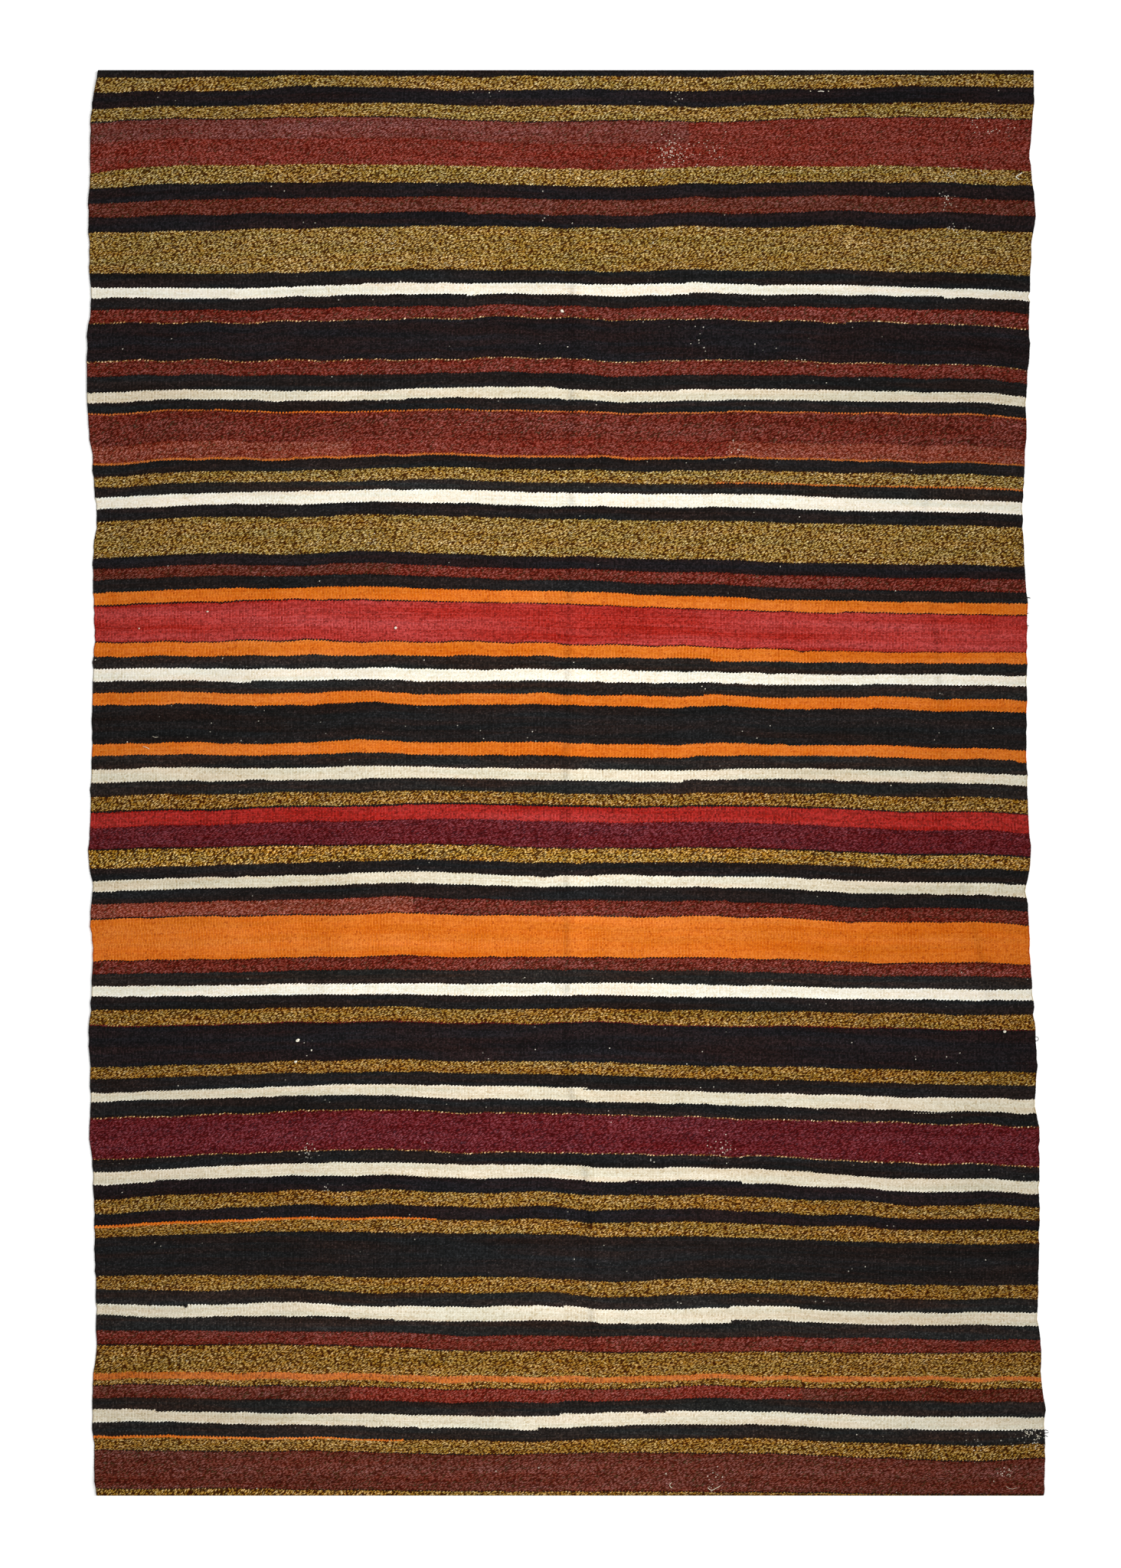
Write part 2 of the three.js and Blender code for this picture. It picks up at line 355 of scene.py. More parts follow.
# Soft creases from years of folded storage. Each is a low ridge down the rug, steeper on its left side.
Crease = namedtuple("Crease", "height left right path starts ends")
CREASES = [
    Crease(3.4, 17, 38, [(0, 22), (700, 18), (1300, 8), (1780, 10), (2100, 50), (LENGTH, 64)], 120, 2500),
    Crease(3.0, 18, 50, [(0, 655), (760, 665), (1300, 700), (1750, 785), (LENGTH, 800)], 500, 1800),
]
CREASE_FADE = 200

# Cloth that was beaten harder in one place than in another is slightly uneven, as a few long waves, in mm.
COCKLE_WAVES = 16
COCKLE_ACROSS = (90, 380)
COCKLE_DOWN = (500, 2200)
COCKLE_STEEPNESS = 0.0011  # a wave's height as a share of its length across
COCKLE_RAISED = 0.55
COCKLE_FADE = 140

# Knots where the weaver tied in a new warp, and other lumps of yarn that show on the face: their place across
# and down, their width and height, and how far their long side turns from straight across.
Knot = namedtuple("Knot", "yarn across down width height turned")
KNOTS = [
    Knot("bright cream", -7, 441, 9.0, 6.0, -50),
    Knot("bright cream", -490, 1774, 10.5, 6.4, 25),
    Knot("bright cream", -465, 1792, 3.2, 4.4, 0),
    Knot("bright cream", -494, 1813, 7.7, 4.6, 10),
    Knot("bright cream", 802, 1758, 7.2, 5.6, 0),
    Knot("bright cream", -311, 1020, 6.4, 5.4, 15),
    Knot("cream", -655, 990, 5.6, 3.4, 0),
    Knot("cream", -780, 1021, 3.6, 3.4, 0),
    Knot("cream", 183, 2566, 2.4, 4.6, 0),
    Knot("cream", 447, 39, 3.0, 2.4, 0),
    Knot("cream", 480, 39, 2.8, 2.4, 0),
    Knot("black", -694, 2260, 7.4, 5.4, 0),
]
# At one pick the weft has worn through over a row of warps.
BARE_WARPS = 8
BARE_FROM = 637
BARE_PITCH = 5.3
KNOTS += [Knot("cream", BARE_FROM + BARE_PITCH * number, 1907, 2.1, 1.8, 0) for number in range(BARE_WARPS)]
# A knot's yarn winds inwards this many times. Its thickness is a share of the knot's smaller side.
KNOT_TURNS = 1.6
KNOT_THICKNESS = 0.42
KNOT_TIGHTENED = 0.8
KNOT_LIFT = (0.15, 0.45)  # of its outer end, and of its inner end above that, as shares of its thickness
KNOT_STEPS = 13

# Threads that lie loose on the face or stand out of a selvedge: their thickness and the places that they run
# through, each as its distance across and down. What is dark is spare weft, and what is pale is warp.
Thread = namedtuple("Thread", "yarn thickness path")
THREADS = [
    Thread("bright cream", 1.9, [(834.4, 187.3), (828.5, 191.2), (822.6, 195.7), (826, 198.2), (829, 200.2)]),
    Thread("cream", 1.2, [(259.0, 2590.0), (262.0, 2593.8), (266.0, 2595.6), (274.0, 2592.2), (283.0, 2587.2)]),
    Thread("cream", 1.1, [(193.5, 2581.6), (190.6, 2584.0), (189.7, 2586.8), (191.6, 2590.0), (195.0, 2592.0)]),
    Thread("cream", 0.6, [(804.0, 2588.0), (809.0, 2592.0), (816.0, 2593.4), (824.0, 2590.6)]),
    Thread("cream", 0.6, [(805.0, 2570.0), (808.0, 2566.6), (812.0, 2568.0), (811.0, 2572.0)]),
    Thread("cream", 1.1, [(-773.4, 1236.2), (-767.0, 1238.2), (-761.0, 1241.2)]),
    Thread("cream", 0.7, [(-756.0, 1217.4), (-750.4, 1219.8), (-745.0, 1219.0)]),
    Thread("gold line", 1.5, [(688.8, 746.0), (690.2, 752.0), (687.6, 757.6), (687.8, 764.0)]),
    Thread("bright cream", 1.6, [(460.6, 39.4), (466.0, 38.8), (472.0, 39.6)]),
    Thread("cream", 0.9, [(838.5, 2489.0), (842.5, 2493.0), (847.0, 2494.6)]),
    Thread("cream", 0.7, [(845.0, 2500.0), (847.4, 2495.0), (850.0, 2490.0)]),
    Thread("cream", 0.7, [(857.5, 2505.0), (862.0, 2501.0), (864.5, 2496.0)]),
    Thread("cream", 0.7, [(859.0, 2493.0), (864.0, 2497.0), (869.5, 2498.6)]),
    Thread("black", 1.5, [(857.0, 1768.0), (861.4, 1767.4), (863.6, 1771.0), (861.4, 1774.6), (857.4, 1774.0)]),
    Thread("black", 2.0, [(842.0, 964.0), (846.0, 964.6), (849.4, 965.4)]),
    Thread("black", 1.4, [(842.0, 993.0), (844.4, 993.4), (846.6, 992.6)]),
    Thread("black", 1.4, [(842.0, 1015.0), (844.4, 1015.4), (846.6, 1016.4)]),
    Thread("black", 1.5, [(873.0, 2487.0), (877.0, 2486.0), (881.6, 2488.2)]),
    Thread("black", 1.5, [(873.0, 2491.0), (878.0, 2491.6), (883.0, 2490.0)]),
    Thread("black", 1.5, [(873.0, 2495.0), (878.0, 2496.6), (881.0, 2499.4)]),
]
STRAND_RINGS = 19
STRAND_SIDES = 7
STRAND_TAPER = 0.6  # the share of its thickness that a strand loses at its very ends
# How high a thread's middle line lies, as shares of its thickness: on the cloth, where it goes down into the
# cloth, and at an end that stands out of the selvedge.
THREAD_LIFT = 0.35
THREAD_SUNK = -0.1
THREAD_HANGING = -0.5

# The weft's turns at the selvedges: one bight of yarn after another, flattened along the edge.
TURN_PITCH = 2.8
TURN_RADIUS = 1.15
TURN_THICKNESS = 0.8
TURN_FLATTENED = 2.5
TURN_SWEEP = 150
TURN_INSET = 0.95
TURN_LEAN = 9
TURN_STEPS = 6
TURN_SIDES = 5
# The share of the paler ply that shows on the turns and stitches. The rest of their colour is painted shade in
# the dark ply's colour.
UNSHADED_AT_EDGES = 0.35
BIGHT_SIZES = (0.86, 1.1)  # the smallest and the largest, since the yarn is uneven

# The whip stitches that hold down the raw edges of the two hems, on the underside.
STITCH_PITCH = 12
STITCH_THICKNESS = 0.8
STITCH_PATH = [(-1.0, -4.2, 0.3), (0.0, 2.4, -0.5), (1.0, 3.8, 2.8)]  # across, in from the raw edge, and up
STITCH_STEPS = 7
STITCH_LEAN = 2.0

# How finely the cloth's mesh is stepped, in mm and in steps.
ROW_STEP = 11.5
COLUMN_STEP = 13.0
CREASE_STEPS = 5
FOLD_STEPS = 8
HEM_STEPS = 3
EDGE_OFFSETS = (0.0, 0.5, 1.3, 2.6, 5.5)
EDGE_ROUND = 1.7
EDGE_SWELL = 0.25
SETTLING_ROUNDS = 3  # where a row lies and where its columns lie each depend on the other

# Where the skins and the raw ends lie on the map that the finish is baked to. The face gets most of its width.
FACE_BAND = (0.003, 0.757)
BACK_BAND = (0.769, 0.992)
RAW_BANDS = ((0.9945, 0.9965), (0.9975, 0.9995))
MAP_MARGIN = 0.002
CELL_MARGIN = 0.1  # round each strand's own cell, as a share of the cell

# The small strays of the weave, in mm: how far each pick leans over one rib and sways along its way, how far
# the side of a stripe strays, and how far uneven spinning carries the grains off their slant.
PICK_LEAN = 0.4
PICK_SWAY = 2.6
SIDE_STRAY = 3.0
GRAIN_BEND = (6.0, 6.0, 0.0)
GRAIN_UNEVEN = 0.9

# How far the patches of what varies over the cloth reach, in mm, and how much finer detail they have.
Patch = namedtuple("Patch", "across down detail")
PATCHES = {
    "sway": Patch(30, 9, 1),
    "side stray": Patch(42, 38, 2),
    "spinning": Patch(13, 13, 1),
    "pick": Patch(240, 2.4, 2),
    "abrash": Patch(600, 24, 1),
    "hue": Patch(260, 15, 2),
    "slack": Patch(45, 60, 1),
    "rubbed": Patch(70, 45, 2),
    "fibre": Patch(0.7, 0.2, 2),
}

# How one thing follows another: as the cause goes from low to high, it goes from at_low to at_high.
Fade = namedtuple("Fade", "low high at_low at_high", defaults=(0.0, 1.0))
FADES = {
    "grain form": Fade(0.15, 0.6, 1.0, 0.0),
    "painted shade between grains": Fade(0.1, 0.85, 1.0, 0.0),
    "hue": Fade(0.38, 0.62),
    "light on a rib": Fade(0.0, 0.8, 0.80, 1.03),
    "light on a float": Fade(0.0, 0.7, 0.74, 1.05),
    "light on a slack rib": Fade(0.35, 0.65, 1.0, 0.78),
    "light on a grain": Fade(0.0, 1.0, 0.45, 1.45),
    "beside another yarn": Fade(0.8, 2.8, 1.0, 0.0),
    "light on a last pick": Fade(0.02, 0.3, 0.72, 1.14),
    "light on a turn": Fade(0.6, 2.6, 0.5, 1.0),
    "rubbed": Fade(0.55, 0.80, 0.0006, 0.02),
    "loft": Fade(0.1, 0.8, 1.0, 0.45),
    "roughness": Fade(0.3, 0.7, 0.84, 0.96),
    "winding of a ply": Fade(0.42, 0.58),
}

# The least shade of a float, of a grain and of a marled float, and how much brighter the brightest is.
Shades = namedtuple("Shades", "least spread")
FLOAT_SHADES = Shades(0.93, 0.14)
GRAIN_SHADES = Shades(0.68, 0.8)
MARLED_SHADES = Shades(0.75, 0.5)
PALE_LIGHT = 0.97  # between the ribs and floats of white wool, which lets light through
OWN_HUE = 0.45  # the share of a marled yarn's hue that each grain has to itself
WARM_HUE = (1.34, 0.92, 0.84, 1.0)
COOL_HUE = (0.74, 1.02, 1.20, 1.0)
NO_HUE = (1.0, 1.0, 1.0, 1.0)
SHADE_STEP = (0.95, 1.08, 1.25)  # how far red, green and blue each go with the shade
DARKEST = (0.02, 0.02, 0.02)
WARP_COLOUR = "#e4decc"
WARP_HIDDEN = 0.25  # the share of the weft's colour over a bare warp
WARP_CLEARER = 3.0  # how much clearer the bare warps are in a rubbed place


def linear(hex_colour):
    """An sRGB hex colour as linear red, green, blue and alpha."""
    channels = [int(hex_colour[i : i + 2], 16) / 255 for i in (1, 3, 5)]
    return [c / 12.92 if c <= 0.04045 else ((c + 0.055) / 1.055) ** 2.4 for c in channels] + [1.0]


def smooth(share):
    share = np.clip(share, 0.0, 1.0)
    return share * share * (3 - 2 * share)


def eased(down, places, values):
    """The value at each distance down: eased from one place of a table to the next."""
    places = np.asarray(places, float)
    values = np.asarray(values, float)
    k = np.clip(np.searchsorted(places, down, side="left"), 1, len(places) - 1)
    share = smooth((down - places[k - 1]) / (places[k] - places[k - 1]))
    return values[k - 1] * (1 - share) + values[k] * share


def left_edge(down):
    return -eased(down, [s.down for s in SELVEDGES], [s.left for s in SELVEDGES])


def right_edge(down):
    return eased(down, [s.down for s in SELVEDGES], [s.right for s in SELVEDGES])


def crease_path(crease, down):
    return eased(down, [p[0] for p in crease.path], [p[1] for p in crease.path])


def through(places, values, at):
    """A smooth curve through the values at those places."""
    places = np.asarray(places, float)
    values = np.asarray(values, float)
    slopes = np.gradient(values, places)
    k = np.clip(np.searchsorted(places, at) - 1, 0, len(places) - 2)
    gap = places[k + 1] - places[k]
    t = np.clip((at - places[k]) / gap, 0.0, 1.0)
    back = (1 + 2 * t) * (1 - t) ** 2 * values[k] + t * (1 - t) ** 2 * gap * slopes[k]
    ahead = t * t * (3 - 2 * t) * values[k + 1] + t * t * (t - 1) * gap * slopes[k + 1]
    return back + ahead


# The sides of the stripes, as distances down from the top end, on an even net of places across.
ACROSS = np.linspace(-NET_REACH, NET_REACH, 2 * NET_REACH // NET_STEP + 1)


def stripe_widths():
    """The width of every stripe at every place across."""
    left_share = 1 - smooth((ACROSS - WIDTHS_AT[0]) / (WIDTHS_AT[1] - WIDTHS_AT[0]))
    right_share = smooth((ACROSS - WIDTHS_AT[1]) / (WIDTHS_AT[2] - WIDTHS_AT[1]))
    middle_share = 1 - left_share - right_share
    return np.array([s.left * left_share + s.middle * middle_share + s.right * right_share for s in PLAN])


def waver(rng):
    """One pick's waver at every place across, as a few long waves."""
    line = np.zeros(len(ACROSS))
    for _ in range(WAVER_WAVES):
        line += WAVER_HEIGHT * np.sin(2 * math.pi * (ACROSS / rng.uniform(*WAVER_LENGTHS) + rng.uniform()))
    return line


def stripe_sides():
    """Where each side of each stripe lies, from the top end to the bottom end, at every place across."""
    rng = np.random.default_rng(SEED + 3)
    ends = np.concatenate([np.zeros((1, len(ACROSS))), np.cumsum(stripe_widths(), axis=0)])
    middles = np.concatenate([[0.0], np.cumsum([s.middle for s in PLAN])])
    middles *= LENGTH / middles[-1]
    fixed = [(0, np.zeros(len(ACROSS)))]
    for number, strays in BEATEN.items():
        fixed.append((number, middles[number] + through(BEAT_STATIONS, strays, ACROSS)))
    fixed.append((len(PLAN), np.full(len(ACROSS), float(LENGTH))))
    sides = np.zeros_like(ends)
    for (a, line_a), (b, line_b) in zip(fixed, fixed[1:]):
        between = waver(rng)
        for k in range(a, b + 1):
            share = (ends[k] - ends[a]) / (ends[b] - ends[a])
            sides[k] = line_a + share * (line_b - line_a) + 4 * share * (1 - share) * between
    return sides


SIDES = stripe_sides()

# One crosswise row of the cloth. stripe: the one that it lies in. share: how far into it. turn: angle round
# the fold, 180 degrees where the cloth faces up and 0 under the hem. inset: distance in from the rug's end,
# under the hem.
Row = namedtuple("Row", "stripe share end turn inset")
FOLD_RADIUS = (THICKNESS + HEM_GAP) / 2
FOLD_CENTRE = FOLD_RADIUS + THICKNESS / 2
RAISED = THICKNESS / 2 + 2 * FOLD_RADIUS


def cloth_rows():
    """Every row from the raw edge under the top end to the raw edge under the bottom end."""
    last = len(PLAN) - 1
    insets = [HEM_DEPTH + (FOLD_CENTRE - HEM_DEPTH) * k / HEM_STEPS for k in range(HEM_STEPS)]
    turns = [math.pi * k / FOLD_STEPS for k in range(FOLD_STEPS)]
    rows = [Row(0, 0.0, "top", 0.0, inset) for inset in insets]
    rows += [Row(0, 0.0, "top", turn, FOLD_CENTRE) for turn in turns]
    for number, stripe in enumerate(PLAN):
        steps = max(1, round(stripe.middle / ROW_STEP))
        rows += [Row(number, k / steps, "field", math.pi, 0.0) for k in range(steps)]
    rows.append(Row(last, 1.0, "field", math.pi, 0.0))
    rows += [Row(last, 1.0, "bottom", turn, FOLD_CENTRE) for turn in reversed(turns)]
    rows += [Row(last, 1.0, "bottom", 0.0, inset) for inset in reversed(insets)]
    return rows


ROWS = cloth_rows()


def uneven_edges(down):
    """How far both selvedges stray from their smooth lines. Some turns of weft were pulled tighter, and some
    yarns stand out further than others."""
    rng = np.random.default_rng(SEED)
    places = np.arange(-PULLED_EVERY, LENGTH + 2 * PULLED_EVERY, PULLED_EVERY)
    strays = []
    for edge in NEAR_SELVEDGES:
        sides = SIDES[:, np.searchsorted(ACROSS, edge)]
        stripes = np.clip(np.searchsorted(sides, places) - 1, 0, len(PLAN) - 1)
        standing = [STANDING.get(PLAN[stripe].yarn, 0.0) for stripe in stripes]
        strays.append(np.interp(down, places, standing + rng.normal(0.0, PULLED, len(places))))
    return strays


# One lengthwise column: it runs between two stops, each moved by an offset, at a share of the way.
Column = namedtuple("Column", "stop offset next_stop next_offset share")


def stops_at(down):
    """Where the left edge, the two creases and the right edge lie across the rug."""
    left_stray, right_stray = uneven_edges(down)
    paths = [crease_path(crease, down) for crease in CREASES]
    return [left_edge(down) - left_stray, *paths, right_edge(down) + right_stray]


def cloth_columns():
    """Every column from the left selvedge to the right one, close together at the edges and on the creases."""
    middle = [float(s) for s in stops_at(np.array(LENGTH / 2))]
    columns = [Column(0, offset, 0, offset, 0.0) for offset in EDGE_OFFSETS]
    at, offset = 0, EDGE_OFFSETS[-1]
    for number, crease in enumerate(CREASES, start=1):
        steps = round((middle[number] - crease.left - middle[at] - offset) / COLUMN_STEP)
        columns += [Column(at, offset, number, -crease.left, k / steps) for k in range(1, steps)]
        rising = [-crease.left * (1 - k / CREASE_STEPS) for k in range(CREASE_STEPS)]
        falling = [crease.right * k / CREASE_STEPS for k in range(CREASE_STEPS + 1)]
        columns += [Column(number, offset, 0, 0, 0.0) for offset in rising + falling]
        at, offset = number, crease.right
    edge = len(CREASES) + 1
    steps = round((middle[edge] - EDGE_OFFSETS[-1] - middle[at] - offset) / COLUMN_STEP)
    columns += [Column(at, offset, edge, -EDGE_OFFSETS[-1], k / steps) for k in range(1, steps)]
    columns += [Column(edge, -offset, edge, -offset, 0.0) for offset in reversed(EDGE_OFFSETS)]
    return columns


COLUMNS = cloth_columns()


def places_across(down):
    """The place across of every column, for a net of distances down."""
    stops = stops_at(down)
    across = np.empty_like(down)
    for c, column in enumerate(COLUMNS):
        here = stops[column.stop][:, c] + column.offset
        there = stops[column.next_stop][:, c] + column.next_offset
        across[:, c] = here + column.share * (there - here)
    return across


def row_downs(across):
    """The distance down of every field row at those places across. The outermost rows stop at the folds."""
    sides = SIDES.copy()
    sides[0] = FOLD_CENTRE
    sides[-1] = LENGTH - FOLD_CENTRE
    down = np.empty_like(across)
    for r, row in enumerate(ROWS):
        line = sides[row.stripe] + row.share * (sides[row.stripe + 1] - sides[row.stripe])
        down[r] = np.interp(across[r], ACROSS, line)
    return down


def hem_height(down):
    """The height of the cloth's middle surface. It lies on its own hem at both ends and else on the floor."""
    inward = np.minimum(down, LENGTH - down)
    return RAISED + (THICKNESS / 2 - RAISED) * smooth((inward - HEM_DEPTH) / HEM_RISE)


def crease_lift(across, down):
    lift = np.zeros_like(across)
    for crease in CREASES:
        away = across - crease_path(crease, down)
        away = np.minimum(1.0, np.where(away < 0, -away / crease.left, away / crease.right))
        starts = smooth((down - crease.starts) / CREASE_FADE)
        stops = smooth((crease.ends - down) / CREASE_FADE)
        lift += crease.height * starts * stops * 0.5 * (1 + np.cos(math.pi * away))
    return lift


def cockle(across, down):
    """How far the uneven beat lifts the cloth."""
    rng = np.random.default_rng(SEED + 1)
    lift = np.zeros_like(across)
    for _ in range(COCKLE_WAVES):
        wave_across = rng.uniform(*COCKLE_ACROSS)
        wave_down = rng.uniform(*COCKLE_DOWN)
        phase = rng.uniform(0, 2 * math.pi)
        height = COCKLE_STEEPNESS * wave_across
        lift += height * np.sin(2 * math.pi * (across / wave_across + down / wave_down) + phase)
    ends = smooth(np.minimum(down, LENGTH - down) / COCKLE_FADE)
    return ends * np.maximum(0.0, lift + COCKLE_RAISED)


# The cloth's middle surface at every row and column: its place, its outward normal in the lengthwise plane,
# half its thickness, and the place across counted in the weave.
Net = namedtuple("Net", "across down up normal_down normal_up half woven")


def cloth_net():
    down = np.repeat(np.linspace(0, LENGTH, len(ROWS))[:, None], len(COLUMNS), axis=1)
    for _ in range(SETTLING_ROUNDS):
        across = places_across(down)
        down = row_downs(across)
    up = hem_height(down) + crease_lift(across, down) + cockle(across, down)
    normal_down = np.zeros_like(down)
    normal_up = np.ones_like(down)
    for r, row in enumerate(ROWS):
        if row.end == "field":
            continue
        inward = row.inset - FOLD_RADIUS * math.sin(row.turn)
        side = 1 if row.end == "top" else -1
        down[r] = inward if row.end == "top" else LENGTH - inward
        up[r] = THICKNESS / 2 + FOLD_RADIUS * (1 - math.cos(row.turn))
        normal_down[r] = -side * math.sin(row.turn)
        normal_up[r] = -math.cos(row.turn)
        across[r] = places_across(down[r : r + 1])[0]
    stops = stops_at(down)
    edge = np.minimum(across - stops[0], stops[-1] - across)
    rounding = np.sqrt(1 - (1 - np.clip(edge / EDGE_ROUND, 0, 1)) ** 2)
    on_floor = smooth((np.minimum(down, LENGTH - down) - HEM_DEPTH) / HEM_RISE)
    swelling = EDGE_SWELL * (1 - smooth(edge / EDGE_OFFSETS[-1])) * on_floor
    half = THICKNESS / 2 * rounding * (1 + swelling)
    up = up + THICKNESS / 2 * swelling
    woven = WOVEN_WIDTH * (across - stops[0]) / (stops[-1] - stops[0])
    return Net(across, down, up, normal_down, normal_up, half, woven)


def yarn_of(stripe, across):
    """The yarn of a stripe at each place across, as its number in YARNS."""
    plan = PLAN[stripe]
    own = YARN_NAMES.index(plan.yarn)
    other = YARN_NAMES.index(plan.instead or plan.yarn)
    return np.where((across > plan.start) & (across < plan.stop), other, own).astype(float)


def joins_by_side():
    """The joins on the upper side of every stripe: those of the table, and elsewhere small ones at random."""
    rng = np.random.default_rng(SEED + 2)
    joins = [()]
    for number in range(1, len(PLAN)):
        places = rng.choice(JOIN_PLACES, SMALL_JOINS, replace=False) + rng.normal(0, JOIN_STRAY, SMALL_JOINS)
        small = tuple(zip(places, rng.normal(0, JOIN_JUMP, SMALL_JOINS)))
        is_thin_above = PLAN[number - 1].middle < THIN_STRIPE
        joins.append(joins[-1] if is_thin_above else JOINS.get(number, small))
    return joins + [()]


def stepped_down(joins, face_across, corner_across):
    """How far below its smooth line the side of a stripe lies, at the corners of some faces."""
    down = np.zeros_like(corner_across)
    for place, step in joins:
        across = face_across[:, None] if abs(step) > SHARP_JOIN else corner_across
        side = np.where(across < place, -0.5, 0.5)
        down += step * side * np.exp(-np.abs(corner_across - place) / JOIN_FADE)
    return down


def new_mesh(name, points, faces):
    mesh = bpy.data.meshes.new(name)
    mesh.from_pydata([tuple(p) for p in points], [], [tuple(f) for f in faces])
    mesh.update()
    return mesh


def new_piece(name, mesh, material=None):
    piece = bpy.data.objects.new(name, mesh)
    bpy.context.scene.collection.objects.link(piece)
    if material is not None:
        mesh.materials.append(material)
    return piece


def set_attribute(mesh, name, domain, values):
    attribute = mesh.attributes.new(name, "FLOAT", domain)
    attribute.data.foreach_set("value", np.asarray(values, np.float32).ravel())


def add_map(mesh, name, places, kept):
    """A UV map with a place for every kept corner."""
    layer = mesh.uv_layers.new(name=name)
    layer.data.foreach_set("uv", places.reshape(-1, 2)[kept].astype(np.float32).ravel())


def net_faces(rows, columns):
    """The corners of every face of a net of points, as (row, column) pairs, in the order that faces up."""
    r, c = np.meshgrid(np.arange(rows - 1), np.arange(columns - 1), indexing="ij")
    r, c = r.ravel(), c.ravel()
    return np.stack([r, r + 1, r + 1, r], axis=1), np.stack([c, c, c + 1, c + 1], axis=1)


# The faces of the closed sheet. Both skins, and the faces that close the two raw ends, are listed with four
# corners each: rows and columns place the corners in the net. part tells the skins and ends apart, and stripe
# is the one that a face lies in. kept numbers the corners that count: at a raw end's own corners two of the
# four are one point.
Sheet = namedtuple("Sheet", "faces rows columns part stripe kept")
FACE, BACK, TOP_END, FOOT_END = range(4)


def closed_sheet(rows, columns):
    """Both skins of the cloth, which share their points along the selvedges, closed at the raw ends."""
    outer = np.arange(rows * columns).reshape(rows, columns)
    inner = outer.copy()
    inner[:, 1:-1] = rows * columns + np.arange(rows * (columns - 2)).reshape(rows, columns - 2)
    r, c = net_faces(rows, columns)
    end_c = c[: columns - 1]
    top_r = np.zeros_like(end_c)
    top_end = np.stack([outer[0, :-1], outer[0, 1:], inner[0, 1:], inner[0, :-1]], axis=1)
    foot_end = np.stack([outer[-1, :-1], inner[-1, :-1], inner[-1, 1:], outer[-1, 1:]], axis=1)
    quads = np.concatenate([outer[r, c], inner[r, c][:, ::-1], top_end, foot_end])
    corner_r = np.concatenate([r, r[:, ::-1], top_r, top_r + rows - 1])
    corner_c = np.concatenate([c, c[:, ::-1], end_c[:, [0, 3, 3, 0]], end_c[:, [0, 0, 3, 3]]])
    upper_r = np.concatenate([r[:, 0], r[:, 0], top_r[:, 0], top_r[:, 0] + rows - 2])
    part = np.repeat([FACE, BACK, TOP_END, FOOT_END], [len(r), len(r), len(end_c), len(end_c)])
    stripe = np.array([row.stripe for row in ROWS])[upper_r]
    faces = [[quad[k] for k in range(4) if quad[k] != quad[k - 1]] for quad in quads.tolist()]
    kept = np.flatnonzero(quads != np.roll(quads, 1, axis=1))
    return Sheet(faces, corner_r, corner_c, part, stripe, kept)


def mark_yarns(mesh, net, sheet):
    """Which yarn each face is of, and which ones lie above and below it."""
    last = len(PLAN) - 1
    upper_r = np.minimum(sheet.rows.min(axis=1), len(ROWS) - 2)
    across = net.across[upper_r, sheet.columns.min(axis=1)]
    for name, step in (("yarn_here", 0), ("yarn_above", -1), ("yarn_below", 1)):
        yarns = np.empty(len(across))
        for number in range(len(PLAN)):
            mine = sheet.stripe == number
            yarns[mine] = yarn_of(min(max(number + step, 0), last), across[mine])
        set_attribute(mesh, name, "FACE", yarns)


def mark_sides(mesh, net, sheet):
    """How far each corner lies from the upper and the lower side of its stripe, joins and all."""
    across = net.across[sheet.rows, sheet.columns]
    stripe = np.repeat(sheet.stripe[:, None], 4, axis=1)
    row_stripe = np.array([row.stripe for row in ROWS])[sheet.rows]
    row_share = np.array([row.share for row in ROWS])[sheet.rows]
    share = np.where(row_stripe == stripe, row_share, 1.0)
    place = np.rint((across + NET_REACH) / NET_STEP).astype(int)
    width = SIDES[stripe + 1, place] - SIDES[stripe, place]
    from_above = share * width
    from_below = (1 - share) * width
    joins = joins_by_side()
    for number in range(len(PLAN)):
        mine = sheet.stripe == number
        middle = across[mine].mean(axis=1)
        from_above[mine] -= stepped_down(joins[number], middle, across[mine])
        from_below[mine] += stepped_down(joins[number + 1], middle, across[mine])
    set_attribute(mesh, "from_above", "CORNER", from_above.ravel()[sheet.kept])
    set_attribute(mesh, "from_below", "CORNER", from_below.ravel()[sheet.kept])


def mark_rubbed(mesh, net, sheet):
    """The share of the floats that are gone at each corner."""
    rubbed = np.zeros_like(net.across)
    for place in RUBBED:
        away = np.hypot(net.across - place.across, net.down - place.down) / place.reach
        rubbed += place.share * np.exp(-away * away)
    set_attribute(mesh, "rubbed", "CORNER", rubbed[sheet.rows, sheet.columns].ravel()[sheet.kept])


def map_cloth(mesh, net, sheet):
    """The weave's own map, which runs on through the folds and so counts the cloth's length and not the rug's,
    and the map for the bake."""
    middle = net.across.shape[1] // 2
    step = np.hypot(np.diff(net.down[:, middle]), np.diff(net.up[:, middle]))
    along = np.concatenate([[0.0], np.cumsum(step)])
    woven = net.woven[sheet.rows, sheet.columns]
    add_map(mesh, "Weave", np.stack([woven, along[sheet.rows]], axis=2), sheet.kept)

    bands = np.array([FACE_BAND, BACK_BAND, *RAW_BANDS])[sheet.part]
    low, high = bands[:, 0:1], bands[:, 1:2]
    long_way = along[sheet.rows] / along[-1]
    short_way = woven / WOVEN_WIDTH
    raw = sheet.part >= TOP_END
    long_way[raw] = short_way[raw]
    short_way[sheet.part == TOP_END] = (0, 0, 1, 1)
    short_way[sheet.part == FOOT_END] = (0, 1, 1, 0)
    long_way = MAP_MARGIN + (1 - 2 * MAP_MARGIN) * long_way
    add_map(mesh, "OFBake", np.stack([long_way, low + (high - low) * short_way], axis=2), sheet.kept)
    mesh.uv_layers.active = mesh.uv_layers["Weave"]
    mesh.uv_layers["Weave"].active_render = True


